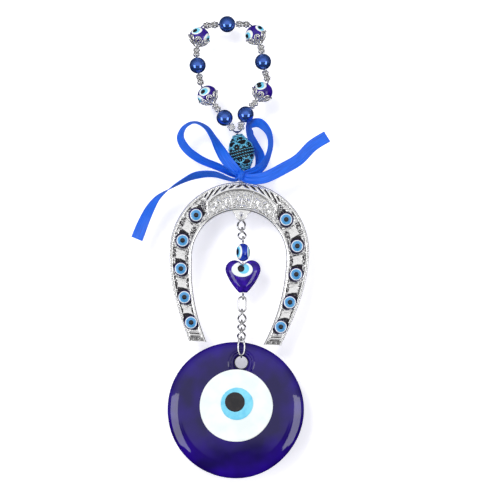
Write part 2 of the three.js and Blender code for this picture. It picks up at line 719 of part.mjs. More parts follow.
// Upper chain: the two links from the lug down to the pin.
const LINK_1_TOP = LUG_BAR_Z + Math.hypot(BAR_HALF, LUG_THICKNESS / 2) + GAP + WIRE;
const LINK_1_HEIGHT = 8.6;
const LINK_2_HEIGHT = 6.6;
const LINK_1_ROD = LINK_1_TOP - LINK_1_HEIGHT + WIRE / 2;
const LINK_2_TOP = LINK_1_ROD + REACH + WIRE / 2;
const LINK_2_ROD = LINK_2_TOP - LINK_2_HEIGHT + WIRE / 2;
const LINK_1_X = LUG_BAR_X + 0.2;
const LINK_2_X = LINK_1_X + 0.3;

// The pin and the two beads on it.
const PIN_X = LINK_2_X + 0.5;
const PIN_TOP_LOOP = LINK_2_ROD + REACH - (PIN_LOOP_DIAMETER - WIRE) / 2;
const FLAT_BEAD_Z = PIN_TOP_LOOP - PIN_LOOP_DIAMETER / 2 - GAP - FLAT_BEAD_DIAMETER / 2;
const HEART_LOBE_Z = FLAT_BEAD_Z - Math.sqrt(
  (FLAT_BEAD_DIAMETER / 2 + HEART_LOBE_RADIUS + GAP) ** 2 - HEART_LOBE_OFFSET ** 2);
const HEART_TIP = HEART_LOBE_Z + HEART_LOBE_RADIUS - HEART_HEIGHT;
const PIN_LOW_LOOP = HEART_TIP - GAP - PIN_LOOP_DIAMETER / 2;

// Lower chain: four links, which share the distance down to the disc.
const RING_ROD_TOP = PIN_LOW_LOOP - (PIN_LOOP_DIAMETER - WIRE) / 2 + REACH;
const DISC_TOP = Math.min(LOWEST_FOOT - DISC_BELOW_FEET, RING_ROD_TOP - LEAST_CHAIN - BAIL_RAISE);
const BAIL_TOP = DISC_TOP + BAIL_RAISE;
const BAIL_ROD = BAIL_TOP - REACH;
const LOWER_SHARES = [0.31, 0.27, 0.19, 0.23];
const PITCH_TOTAL = RING_ROD_TOP - REACH - BAIL_ROD;

function lowerLinks() {
  // The top link is a plain ring that faces forward, and the others are twisted links.
  const links = [];
  let top = RING_ROD_TOP;
  LOWER_SHARES.forEach((share, i) => {
    const rod = top - REACH - PITCH_TOTAL * share;
    links.push({
      name: `lower_link_${i + 1}`, top: top + WIRE / 2, rod, x: PIN_X - 0.4 - 0.12 * i,
      twist: i ? Math.PI / 2 : 0,
    });
    top = rod + REACH;
  });
  return links;
}

const LOWER_LINKS = lowerLinks();

function link(name, x, top, rod, twist) {
  const height = top - rod + WIRE / 2;
  const mesh = piece(name, standingRing(LINK_WIDTH, height, WIRE, twist), silver);
  mesh.position.set(x, 0, top - height / 2);
  return mesh;
}

function pinLoop(z) {
  const loop = new THREE.TorusGeometry((PIN_LOOP_DIAMETER - WIRE) / 2, WIRE / 2, 8, 14);
  loop.rotateY(Math.PI / 2);
  loop.translate(0, 0, z);
  return loop;
}

function eyePin() {
  const top = PIN_TOP_LOOP - (PIN_LOOP_DIAMETER - WIRE) / 2;
  const bottom = PIN_LOW_LOOP + (PIN_LOOP_DIAMETER - WIRE) / 2;
  const shank = new THREE.CylinderGeometry(WIRE / 2, WIRE / 2, top - bottom, 10);
  shank.rotateX(Math.PI / 2);
  shank.translate(0, 0, (top + bottom) / 2);
  const body = solid(shank).add(solid(pinLoop(PIN_TOP_LOOP))).add(solid(pinLoop(PIN_LOW_LOOP)));
  return geometryOf(body);
}

function pinBore(z, length) {
  const bore = new THREE.CylinderGeometry(PIN_BORE / 2, PIN_BORE / 2, length, 12);
  bore.rotateX(Math.PI / 2);
  bore.translate(0, 0, z);
  return solid(bore);
}

function flatBead() {
  // A lens-shaped round bead that shows its rim to the front, bored along the pin.
  const steps = 10;
  const profile = [];
  for (let i = 0; i <= steps; i++) {
    const angle = Math.PI * i / steps;
    profile.push(new THREE.Vector2(FLAT_BEAD_DIAMETER / 2 * Math.sin(angle) ** 0.8,
      -FLAT_BEAD_WIDTH / 2 * Math.cos(angle)));
  }
  const body = turned(profile, 20);
  body.rotateZ(Math.PI / 2);
  body.translate(0, 0, FLAT_BEAD_Z);
  return geometryOf(solid(body).subtract(pinBore(FLAT_BEAD_Z, FLAT_BEAD_DIAMETER + 2)));
}

function heartBead() {
  const r = HEART_LOBE_RADIUS;
  const c = HEART_LOBE_OFFSET;
  const tip = HEART_LOBE_RADIUS - HEART_HEIGHT;
  const notch = Math.acos(c / r);
  const low = THREE.MathUtils.degToRad(-28);
  const half = HEART_TIP_WIDTH / 2;
  const shape = new THREE.Shape();
  shape.absarc(c, 0, r, Math.PI - notch, low, true);
  shape.quadraticCurveTo(c + r * 0.5, tip * 0.6, half, tip);
  shape.lineTo(-half, tip);
  shape.quadraticCurveTo(-c - r * 0.5, tip * 0.6, -(c + r * Math.cos(low)), r * Math.sin(low));
  shape.absarc(-c, 0, r, Math.PI - low, notch, true);
  const bevel = HEART_ROUNDING;
  const body = new THREE.ExtrudeGeometry(shape, {
    depth: HEART_DEPTH - 2 * bevel, bevelEnabled: true, bevelThickness: bevel, bevelSize: bevel,
    bevelOffset: -bevel, bevelSegments: 2, curveSegments: 8,
  });
  body.translate(0, 0, -HEART_DEPTH / 2 + bevel);
  body.rotateX(Math.PI / 2);
  body.translate(0, 0, HEART_LOBE_Z);
  return geometryOf(solid(body).subtract(pinBore(HEART_LOBE_Z, 2 * HEART_HEIGHT)));
}

const DISC_HOLE_Z = DISC_TOP - DISC_HOLE_RIM - DISC_HOLE_DIAMETER / 2;
const BAIL_LOW = DISC_TOP - DISC_HOLE_RIM - GAP - WIRE / 2;
const BAIL_FRONT = DISC_FRONT + GAP + WIRE / 2 - BAIL_TUCK;
const BAIL_BACK = DISC_BACK + GAP + WIRE / 2;
const BAIL_X = LOWER_LINKS[LOWER_LINKS.length - 1].x - 0.1;
const DISC_X = BAIL_X + DISC_SHIFT;
const DISC_RADIUS = DISC_DIAMETER / 2;
const DISC_Z = DISC_TOP - DISC_RADIUS;

function discBail() {
  // An oval ring in front of the glass whose wire runs on through the hole, up the back and
  // over the disc's edge.
  const ovalTop = BAIL_TOP - 0.5;
  const ovalBottom = BAIL_LOW + 0.9;
  const oval = standingRing(LINK_WIDTH, ovalTop - ovalBottom + WIRE, WIRE);
  oval.translate(0, -BAIL_FRONT, (ovalTop + ovalBottom) / 2);
  const hook = [
    [-BAIL_FRONT, ovalTop], [-BAIL_FRONT + 1.1, BAIL_TOP], [0, BAIL_TOP], [BAIL_BACK - 1.0, BAIL_TOP],
    [BAIL_BACK, BAIL_TOP - 1.3], [BAIL_BACK, (BAIL_TOP + BAIL_LOW) / 2], [BAIL_BACK, BAIL_LOW + 1.0],
    [BAIL_BACK - 1.0, BAIL_LOW], [0, BAIL_LOW], [-BAIL_FRONT + 1.0, BAIL_LOW],
    [-BAIL_FRONT, ovalBottom],
  ].map(([y, z]) => new THREE.Vector3(0, y, z));
  return geometryOf(solid(wireAlong(hook, WIRE, 24)).add(solid(oval)));
}

function discProfile() {
  // Radius and depth of the glass from its back, over the rim and up the dome.
  const r = DISC_RADIUS;
  return [
    [0, DISC_BACK], [r * 0.9, DISC_BACK], [r * 0.975, DISC_BACK * 0.8], [r, DISC_BACK * 0.3],
    [r, -DISC_FRONT * 0.2], [r * 0.975, -DISC_FRONT * 0.48], [r * 0.92, -DISC_FRONT * 0.68],
    [r * 0.82, -DISC_FRONT * 0.8], [r * 0.6, -DISC_FRONT * 0.92], [r * 0.3, -DISC_FRONT],
    [0, -DISC_FRONT],
  ];
}

function discGlass() {
  const profile = discProfile().map(([x, y]) => new THREE.Vector2(x, -y));
  const glass = turned(profile, 60);
  glass.rotateX(Math.PI);
  glass.translate(DISC_X, 0, DISC_Z);
  const hole = roundPlate(BAIL_X, DISC_HOLE_Z, DISC_HOLE_DIAMETER, -10, 10, 32);
  const pocket = roundPlate(WHITE_X, WHITE_Z, WHITE_DIAMETER + 2 * GAP, -10,
    -DISC_FRONT + INLAY_DEPTH, 56);
  return geometryOf(solid(glass).subtract(solid(hole)).subtract(solid(pocket)));
}

const WHITE_X = DISC_X + 0.3;
const WHITE_Z = DISC_Z + 2.3;
const IRIS_X = WHITE_X + 0.4;
const IRIS_Z = WHITE_Z + 1.0;
const PUPIL_X = IRIS_X - 1.0;
const PUPIL_Z = IRIS_Z + 0.9;
const INLAY_FLOOR = -DISC_FRONT + INLAY_DEPTH - GAP;

function inlay(x, z, diameter, back, front, sides, pocket) {
  let body = solid(roundPlate(x, z, diameter, front, back, sides));
  if (pocket) {
    const { at, hole, floor } = pocket;
    body = body.subtract(solid(roundPlate(at[0], at[1], hole + 2 * GAP, front - 1, floor, 40)));
  }
  return geometryOf(body);
}

function discInlays() {
  // Three rounds of coloured glass, each in a pocket of the one behind it.
  const whiteFront = -DISC_FRONT - INLAY_PROUD;
  const irisFloor = whiteFront + IRIS_DEPTH;
  const irisFront = whiteFront - INLAY_STEP;
  const pupilFloor = irisFront + PUPIL_DEPTH;
  const white = inlay(WHITE_X, WHITE_Z, WHITE_DIAMETER, INLAY_FLOOR, whiteFront, 56,
    { at: [IRIS_X, IRIS_Z], hole: IRIS_DIAMETER, floor: irisFloor });
  const iris = inlay(IRIS_X, IRIS_Z, IRIS_DIAMETER, irisFloor - GAP, irisFront, 40,
    { at: [PUPIL_X, PUPIL_Z], hole: PUPIL_DIAMETER, floor: pupilFloor });
  const pupil = inlay(PUPIL_X, PUPIL_Z, PUPIL_DIAMETER, pupilFloor - GAP, irisFront - INLAY_STEP, 32);
  return add(new THREE.Group(), piece('disc_white', white, whiteGlass),
    piece('disc_iris', iris, skyGlass), piece('disc_pupil', pupil, blackGlass));
}

function chainAssembly() {
  const group = new THREE.Group();
  const quarter = Math.PI / 2;
  group.add(link('upper_link_1', LINK_1_X, LINK_1_TOP, LINK_1_ROD, quarter));
  group.add(link('upper_link_2', LINK_2_X, LINK_2_TOP, LINK_2_ROD, quarter));
  const pinPieces = [
    piece('eye_pin', eyePin(), silver), piece('flat_eye_bead', flatBead(), cobaltGlass),
    piece('heart_bead', heartBead(), cobaltGlass),
  ];
  for (const part of pinPieces) part.position.x = PIN_X;
  group.add(...pinPieces);
  for (const row of LOWER_LINKS) group.add(link(row.name, row.x, row.top, row.rod, row.twist));
  const bail = piece('disc_bail', discBail(), silver);
  bail.position.x = BAIL_X;
  return add(group, bail, piece('disc_glass', discGlass(), cobaltGlass), discInlays());
}

// ---------------------------------------------------------------- the whole ornament

export default add(new THREE.Group(), hangingLoop(), dropAssembly(), horseshoeAssembly(),
  chainAssembly());
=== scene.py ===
"""Looks of the hanging evil eye ornament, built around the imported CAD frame.

Shapes are worked out in millimetres, and Shape.make turns them into metres. +Z is up, +X is to
the right and -Y is the front, as in the frame.
"""
import json
import math

import bmesh
import bpy
import numpy as np
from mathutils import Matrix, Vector, noise

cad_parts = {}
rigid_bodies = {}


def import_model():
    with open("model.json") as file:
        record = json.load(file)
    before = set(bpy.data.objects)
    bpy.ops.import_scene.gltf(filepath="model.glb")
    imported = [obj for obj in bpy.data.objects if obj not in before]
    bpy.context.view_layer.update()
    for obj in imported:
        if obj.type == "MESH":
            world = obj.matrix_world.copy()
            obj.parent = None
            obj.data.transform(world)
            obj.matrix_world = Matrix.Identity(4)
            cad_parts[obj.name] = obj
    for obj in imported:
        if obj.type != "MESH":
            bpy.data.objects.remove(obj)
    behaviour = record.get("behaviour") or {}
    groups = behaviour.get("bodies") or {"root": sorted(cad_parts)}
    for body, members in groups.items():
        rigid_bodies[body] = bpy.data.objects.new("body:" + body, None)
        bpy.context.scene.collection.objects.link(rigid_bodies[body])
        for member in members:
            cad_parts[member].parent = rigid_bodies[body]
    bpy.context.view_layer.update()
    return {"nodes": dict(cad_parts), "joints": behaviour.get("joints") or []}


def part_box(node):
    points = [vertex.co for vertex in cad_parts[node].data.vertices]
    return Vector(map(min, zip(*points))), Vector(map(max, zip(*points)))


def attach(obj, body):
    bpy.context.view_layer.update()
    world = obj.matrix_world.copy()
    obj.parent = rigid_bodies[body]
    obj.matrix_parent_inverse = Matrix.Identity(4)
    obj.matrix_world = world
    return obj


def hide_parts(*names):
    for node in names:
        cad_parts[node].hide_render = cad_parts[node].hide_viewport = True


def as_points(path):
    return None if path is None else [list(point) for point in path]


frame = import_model()
MM = 0.001

# ---------------------------------------------------------------- places, from the frame

JOINTS = {joint["name"]: joint for joint in frame["joints"]}


def unit(v):
    """The same direction, one long."""
    v = np.asarray(v, float)
    return v / np.linalg.norm(v)


def pivot(joint):
    """A joint's place in millimetres."""
    return np.array(JOINTS[joint]["pos_m"], float) / MM


def axis_of(joint):
    """The direction of a joint's axis."""
    return unit(JOINTS[joint]["axis"])


def box(node):
    """Lowest corner, highest corner and centre of a CAD node, in millimetres."""
    low, high = (np.array(corner, float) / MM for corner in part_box(node))
    return low, high, (low + high) / 2


def node_points(node):
    """The corners of a CAD node's mesh, in millimetres."""
    return np.array([v.co for v in frame["nodes"][node].data.vertices], float) / MM


def smoothstep(low, high, x):
    """0 below low, 1 above high and a smooth rise between. low may be above high."""
    t = np.clip((np.asarray(x, float) - low) / (high - low), 0, 1)
    return t * t * (3 - 2 * t)


def bump(x, half_width):
    """A rounded ridge: 1 at x = 0 and 0 from half_width outwards."""
    return np.clip(1 - (np.asarray(x, float) / half_width) ** 2, 0, 1)


def grains(points, size, seed=0.0):
    """Seeded noise from -1 to 1 at each point of a list."""
    return np.array([noise.noise(Vector(p) / size + Vector((seed, seed, seed))) for p in points])


# ---------------------------------------------------------------- materials


def add_node(tree, kind, inputs=None, **settings):
    """Adds a shader node. Each input is a number, a colour or the socket that feeds it."""
    node = tree.nodes.new("ShaderNode" + kind)
    for key, value in settings.items():
        setattr(node, key, value)
    for key, value in (inputs or {}).items():
        if isinstance(value, bpy.types.NodeSocket):
            tree.links.new(value, node.inputs[key])
        else:
            node.inputs[key].default_value = value
    return node


def principled(name, colour, roughness, metallic=0.0, **more):
    """A material with one plain shader, to which Nodes adds its pattern."""
    material = bpy.data.materials.new(name)
    material.use_nodes = True
    shader = material.node_tree.nodes["Principled BSDF"]
    shader.inputs["Base Color"].default_value = (*colour, 1)
    shader.inputs["Roughness"].default_value = roughness
    shader.inputs["Metallic"].default_value = metallic
    for socket, value in more.items():
        shader.inputs[socket.replace("_", " ")].default_value = value
    return material


class Nodes:
    """Short ways to add nodes to one material."""

    def __init__(self, material):
        self.tree = material.node_tree
        self.shader = self.tree.nodes["Principled BSDF"]
        self.place = self.tree.nodes.new("ShaderNodeTexCoord").outputs["Object"]

    def add(self, kind, inputs=None, **settings):
        return add_node(self.tree, kind, inputs, **settings)

    def noise(self, size, detail=3.0):
        """Noise whose grain is about size millimetres."""
        node = self.add("TexNoise", {"Vector": self.place, "Scale": 1 / (size * MM),
                                     "Detail": detail})
        return node.outputs["Fac"]

    def ramp(self, value, stops):
        """Colours between stops, each given as (value, colour)."""
        node = self.add("ValToRGB", {"Fac": value})
        ramp = node.color_ramp
        while len(ramp.elements) < len(stops):
            ramp.elements.new(0.5)
        for element, (at, colour) in zip(ramp.elements, stops):
            element.position = at
            element.color = (*colour, 1)
        return node.outputs["Color"]

    def span(self, value, low, high, to_low, to_high):
        """A value's range from low to high, moved to another range."""
        node = self.add("MapRange", {"Value": value, "From Min": low, "From Max": high,
                                     "To Min": to_low, "To Max": to_high})
        return node.outputs["Result"]

    def mix(self, share, first, second):
        """Two colours, mixed by a share."""
        return self.add("Mix", {0: share, 6: first, 7: second}, data_type="RGBA").outputs[2]

    def speckled(self, size, low, high):
        """The mesh's tone with noise from low to high added to it."""
        spots = self.span(self.noise(*size), 0.35, 0.65, low, high)
        return self.add("Math", {0: self.tone(), 1: spots}, operation="ADD",
                        use_clamp=True).outputs[0]

    def bump(self, height, depth, strength=1.0):
        """Bump of a depth in millimetres."""
        node = self.add("Bump", {"Height": height, "Distance": depth * MM, "Strength": strength})
        self.tree.links.new(node.outputs["Normal"], self.shader.inputs["Normal"])

    def colour(self, value):
        self.tree.links.new(value, self.shader.inputs["Base Color"])

    def roughness(self, value):
        self.tree.links.new(value, self.shader.inputs["Roughness"])

    def tone(self):
        """The darkness or height that the mesh carries at each point."""
        return self.add("Attribute", attribute_name="tone").outputs["Fac"]


def silver_material(name, patina):
    """Silver plate. With patina it is a casting, dark where the mesh's tone is high: patina, and
    painted shade in places.
    """
    material = principled(name, (0.88, 0.88, 0.9), 0.16, 0.85 if patina else 1.0)
    n = Nodes(material)
    # Plain silver gets a darker base than real silver: painted shade that keeps the thin wires dark
    # against the pale wall.
    dull = (0.88, 0.88, 0.89) if patina else (0.56, 0.56, 0.58)
    bright = (0.98, 0.98, 0.98) if patina else (0.74, 0.74, 0.75)
    clean = n.ramp(n.noise(0.35, 4.0), [(0.3, dull), (0.7, bright)])
    if patina:
        reach = n.span(n.speckled((0.7, 5.0), -0.2, 0.2), 0.32, 0.9, 0, 1)
        n.colour(n.mix(reach, clean, (0.03, 0.027, 0.035, 1)))
        n.roughness(n.span(reach, 0, 1, 0.17, 0.45))
    else:
        n.colour(clean)
        n.roughness(n.span(n.noise(1.2), 0.3, 0.7, 0.1, 0.2))
    n.bump(n.noise(0.5, 3.0), 0.03)
    return material


def pearl_material():
    """The pearls' metallic blue coat under a clear one."""
    material = principled("pearl_coat", (0.03, 0.1, 0.55), 0.1, 0.85, Coat_Weight=1.0,
                          Coat_Roughness=0.05)
    n = Nodes(material)
    n.colour(n.ramp(n.noise(2.5), [(0.3, (0.035, 0.12, 0.56)), (0.7, (0.06, 0.18, 0.68))]))
    n.roughness(n.span(n.noise(0.4), 0.3, 0.7, 0.09, 0.13))
    n.bump(n.noise(0.25, 2.0), 0.003)
    return material


def glass_material(name, dark, light, swirl, roughness=0.05, **more):
    """Coloured glass with slow swirls of a lighter tone and a faintly uneven surface."""
    material = principled(name, dark, roughness, 0.0, IOR=1.5, **more)
    n = Nodes(material)
    n.colour(n.ramp(n.noise(swirl, 2.0), [(0.35, dark), (0.7, light)]))
    n.roughness(n.span(n.noise(swirl * 0.6), 0.3, 0.7, roughness * 0.7, roughness * 1.4))
    n.bump(n.noise(swirl * 0.8, 2.0), 0.03)
    return material


def satin_material():
    """Satin ribbon: fine warp ribs along its length, with a soft sheen."""
    material = principled("satin", (0.01, 0.12, 0.72), 0.36, 0.0, Sheen_Weight=0.12,
                          Sheen_Roughness=0.3, Anisotropic=0.5, Specular_IOR_Level=0.5)
    material.node_tree.nodes["Principled BSDF"].inputs["Sheen Tint"].default_value = (
        0.3, 0.6, 1, 1)
    n = Nodes(material)
    flat = n.add("UVMap", uv_map="ribbon").outputs["UV"]
    warp = n.add("TexWave", {"Vector": flat, "Scale": 9.0, "Distortion": 1.2, "Detail": 2.0,
                             "Detail Scale": 3.0}, bands_direction="Y").outputs["Fac"]
    stretched = n.add("Mapping", {"Vector": flat, "Scale": (0.12, 2.2, 1)}).outputs["Vector"]
    streaks = n.add("TexNoise", {"Vector": stretched, "Scale": 1.0, "Detail": 4.0}).outputs["Fac"]
    n.colour(n.ramp(streaks, [(0.3, (0.003, 0.088, 0.62)), (0.7, (0.006, 0.155, 0.92))]))
    n.roughness(n.span(streaks, 0.3, 0.7, 0.3, 0.44))
    n.bump(warp, 0.02, 0.5)
    return material


def thread_material():
    """Dark waxed thread."""
    material = principled("waxed_thread", (0.02, 0.035, 0.16), 0.62)
    n = Nodes(material)
    n.colour(n.ramp(n.noise(0.3), [(0.3, (0.012, 0.022, 0.11)), (0.7, (0.05, 0.075, 0.24))]))
    n.bump(n.noise(0.12), 0.03)
    return material


def carved_material():
    """The drop bead: near black in its recesses, teal and light blue on what stands out."""
    material = principled("antiqued_teal", (0.05, 0.3, 0.4), 0.4, 0.0, Coat_Weight=0.1,
                          Specular_IOR_Level=0.3)
    n = Nodes(material)
    recess = n.ramp(n.noise(2.2), [(0.5, (0.003, 0.004, 0.007)), (0.8, (0.035, 0.012, 0.008))])
    raised = n.ramp(n.noise(1.1), [(0.32, (0.04, 0.29, 0.50)), (0.68, (0.19, 0.64, 0.92))])
    share = n.speckled((0.5,), -0.12, 0.12)
    n.colour(n.mix(n.span(share, 0.42, 0.72, 0, 1), recess, raised))
    n.roughness(n.span(share, 0.2, 0.8, 0.5, 0.32))
    n.bump(n.noise(0.3), 0.03)
    return material


SILVER = silver_material("bright_silver", patina=False)
CAST = silver_material("antiqued_silver", patina=True)
PEARL = pearl_material()
VIOLET = glass_material("violet_glass", (0.018, 0.004, 0.21), (0.052, 0.010, 0.46), 3.2,
                        Transmission_Weight=0.3)
WHITE = glass_material("white_glass", (0.82, 0.90, 0.91), (0.93, 0.96, 0.96), 6.0, 0.1)
SKY = glass_material("sky_glass", (0.15, 0.60, 0.86), (0.25, 0.74, 0.93), 3.0, 0.08)
ROYAL = glass_material("royal_glass", (0.006, 0.02, 0.30), (0.02, 0.07, 0.62), 2.2, 0.05)
STONE = glass_material("stone_glass", (0.07, 0.30, 0.62), (0.13, 0.42, 0.76), 1.5, 0.07)
MID = glass_material("blue_glass", (0.02, 0.12, 0.42), (0.04, 0.18, 0.5), 3.0, 0.08)
BLACK = glass_material("black_glass", (0.006, 0.006, 0.01), (0.02, 0.016, 0.018), 3.0, 0.06)
NAVY = glass_material("navy_glass", (0.012, 0.004, 0.09), (0.02, 0.01, 0.2), 3.0, 0.06)
SATIN = satin_material()
THREAD = thread_material()
CARVED = carved_material()

# ---------------------------------------------------------------- mesh making


def grid(rows, columns, round_rows=False, round_columns=False):
    """The quads of a grid of points listed row by row."""
    quads = []
    for i in range(rows if round_rows else rows - 1):
        for j in range(columns if round_columns else columns - 1):
            i2, j2 = (i + 1) % rows, (j + 1) % columns
            quads.append((i * columns + j, i * columns + j2, i2 * columns + j2, i2 * columns + j))
    return quads


def capped(rows, columns):
    """The faces of a grid that closes round each row, with a cap on its first and last row."""
    last = (rows - 1) * columns
    return [*grid(rows, columns, False, True), tuple(range(columns))[::-1],
            tuple(range(last, last + columns))]


def around(turn, side, other):
    """Directions at an angle, or at a list of them, in the plane of two others."""
    return np.cos(turn)[..., None] * side + np.sin(turn)[..., None] * other


def places(line):
    """How far along a line each of its points is."""
    return np.concatenate([[0], np.cumsum(np.linalg.norm(np.diff(line, axis=0), axis=1))])


class Shape:
    """Points and faces in millimetres, put together from several solids, then made into a piece."""

    def __init__(self):
        self.points, self.faces, self.marks, self.tones = [], [], [], []
        self.count = 0

    def put(self, solid, mark=0, tone=0.0):
        """Adds (points, faces). mark is a material number, or one for each face."""
        points, faces = np.asarray(solid[0], float), solid[1]
        self.points.append(points)
        self.faces += [tuple(self.count + i for i in face) for face in faces]
        self.marks += list(mark) if hasattr(mark, "__len__") else [mark] * len(faces)
        self.tones.append(np.broadcast_to(np.asarray(tone, float), len(points)))
        self.count += len(points)
        return self

    def mesh(self, name, materials):
        """The mesh of everything put in so far."""
        data = bpy.data.meshes.new(name)
        data.from_pydata((np.concatenate(self.points) * MM).tolist(), [], self.faces)
        for material in materials:
            data.materials.append(material)
        data.polygons.foreach_set("material_index", self.marks)
        data.polygons.foreach_set("use_smooth", [True] * len(self.faces))
        tone = data.attributes.new("tone", "FLOAT", "POINT")
        tone.data.foreach_set("value", np.concatenate(self.tones).astype(np.float32))
        data.validate()
        data.update()
        return data

    def make(self, name, materials, body, slot, *nodes, cut=None, sharp=None):
        """Makes the piece. cut is a Shape to take out of it, and sharp an angle for hard edges."""
        piece = bpy.data.objects.new(name, self.mesh(name, materials))
        bpy.context.scene.collection.objects.link(piece)
        outward(piece)
        if cut is not None:
            carve(piece, cut)
        if sharp is not None:
            piece.data.set_sharp_from_angle(angle=math.radians(sharp))
        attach(piece, body)
        if nodes:
            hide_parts(*nodes)
        return piece


def outward(piece):
    """Turns every face of a closed mesh outwards."""
    work = bmesh.new()
    work.from_mesh(piece.data)
    bmesh.ops.recalc_face_normals(work, faces=work.faces)
    work.to_mesh(piece.data)
    work.free()


def carve(piece, tool):
    """Cuts a Shape out of a piece."""
    data = tool.mesh("cutter", list(piece.data.materials))
    cutter = bpy.data.objects.new("cutter", data)
    bpy.context.scene.collection.objects.link(cutter)
    outward(cutter)
    modifier = piece.modifiers.new("cut", "BOOLEAN")
    modifier.object = cutter
    modifier.solver = "EXACT"
    bpy.context.view_layer.update()
    graph = bpy.context.evaluated_depsgraph_get()
    result = bpy.data.meshes.new_from_object(piece.evaluated_get(graph))
    piece.modifiers.clear()
    piece.data = result
    bpy.data.objects.remove(cutter)


def across(axis):
    """Two directions square to an axis."""
    axis = unit(axis)
    start = (0, 1, 0) if abs(axis[1]) < 0.9 else (1, 0, 0)
    side = unit(np.cross(start, axis))
    return side, np.cross(axis, side)


def spun(profile, segments, centre=(0, 0, 0), axis=(0, 0, 1)):
    """A solid of revolution. The profile is (radius, height) and closes on itself, or runs from
    the axis to the axis."""
    profile = np.asarray(profile, float)
    side, other = across(axis)
    turn = np.linspace(0, 2 * np.pi, segments, endpoint=False)
    radius, height = profile[:, 0][:, None, None], profile[:, 1][:, None, None]
    points = np.asarray(centre, float) + radius * around(turn, side, other) + height * unit(axis)
    closed = np.allclose(profile[0], profile[-1])
    rows = len(profile) - 1 if closed else len(profile)
    points = points[:rows].reshape(-1, 3)
    return points, grid(rows, segments, closed, True)


def frames(points, closed):
    """Directions along a line of points, and two more square to it that don't twist."""
    points = np.asarray(points, float)
    if closed:
        along = np.roll(points, -1, 0) - np.roll(points, 1, 0)
    else:
        along = np.gradient(points, axis=0)
    along /= np.linalg.norm(along, axis=1)[:, None]
    side = np.zeros_like(along)
    side[0] = across(along[0])[0]
    for i in range(1, len(points)):
        v = side[i - 1] - along[i] * np.dot(side[i - 1], along[i])
        side[i] = v / np.linalg.norm(v)
    if closed:
        v = side[-1] - along[0] * np.dot(side[-1], along[0])
        other = np.cross(along[0], side[0])
        twist = math.atan2(np.dot(v, other), np.dot(v, side[0]))
        for i in range(len(points)):
            angle = -twist * i / len(points)
            third = np.cross(along[i], side[i])
            side[i] = side[i] * math.cos(angle) + third * math.sin(angle)
    return along, side, np.cross(along, side)


def tube(points, radius, sides=10, closed=False):
    """A round wire along a line of points, with rounded ends if it is open."""
    points = np.asarray(points, float)
    radii = np.broadcast_to(np.asarray(radius, float), len(points)).copy()
    if not closed:
        first, last = unit(points[0] - points[1]), unit(points[-1] - points[-2])
        points = np.concatenate([[points[0] + first * radii[0] * 0.5], points,
                                 [points[-1] + last * radii[-1] * 0.5]])
        radii = np.concatenate([[radii[0] * 0.6], radii, [radii[-1] * 0.6]])
    _, side, other = frames(points, closed)
    turn = np.linspace(0, 2 * np.pi, sides, endpoint=False)
    ring = points[:, None] + radii[:, None, None] * around(turn, side[:, None], other[:, None])
    faces = grid(len(points), sides, True, True) if closed else capped(len(points), sides)
    return ring.reshape(-1, 3), faces


def resampled(points, spacing, closed=False):
    """The same line with points about spacing apart."""
    points = np.asarray(points, float)
    if closed:
        points = np.concatenate([points, points[:1]])
    place = places(points)
    count = max(8, int(round(place[-1] / spacing)))
    at = np.linspace(0, place[-1], count + 1)
    if closed:
        at = at[:-1]
    return np.stack([np.interp(at, place, points[:, k]) for k in range(3)], 1)


def plied(points, radius, pitch, strands=2, closed=False):
    """Twisted strands round a line of points."""
    line = resampled(points, radius * 0.5, closed)
    _, side, other = frames(line, closed)
    place = places(line)
    turns = max(1, round(place[-1] / pitch)) / place[-1] if closed else 1 / pitch
    solids = []
    for k in range(strands):
        angle = 2 * np.pi * (place * turns + k / strands)
        strand = line + radius * 0.48 * around(angle, side, other)
        solids.append(tube(strand, radius * 0.56, 7, closed))
    return solids


def ball(centre, radius, sides=10):
    """A small round grain, slightly flattened towards its poles."""
    angle = np.linspace(0, np.pi, sides // 2 + 2)
    profile = np.stack([radius * np.sin(angle), -radius * 0.94 * np.cos(angle)], 1)
    profile[0, 0] = profile[-1, 0] = radius * 0.02
    return spun(profile, sides, centre)[0], capped(len(profile), sides)


def cubic(route, fine):
    """A centripetal Catmull-Rom curve through a route, with fine steps between its points, as
    the CAD strips have. Returns points in order."""
    p = np.asarray(route, float)
    p = np.concatenate([[2 * p[0] - p[1]], p, [2 * p[-1] - p[-2]]])
    found = []
    for i in range(1, len(p) - 2):
        a, b, c, d = p[i - 1], p[i], p[i + 1], p[i + 2]
        d0, d1, d2 = (max(np.linalg.norm(v) ** 0.5, 1e-4) for v in (b - a, c - b, d - c))
        t1 = ((b - a) / d0 - (c - a) / (d0 + d1) + (c - b) / d1) * d1
        t2 = ((c - b) / d1 - (d - b) / (d1 + d2) + (d - c) / d2) * d1
        last = i == len(p) - 3
        t = np.linspace(0, 1, fine + 1)[:None if last else -1, None]
        found.append((2 * t**3 - 3 * t**2 + 1) * b + (t**3 - 2 * t**2 + t) * t1
                     + (-2 * t**3 + 3 * t**2) * c + (t**3 - t**2) * t2)
    return np.concatenate(found)


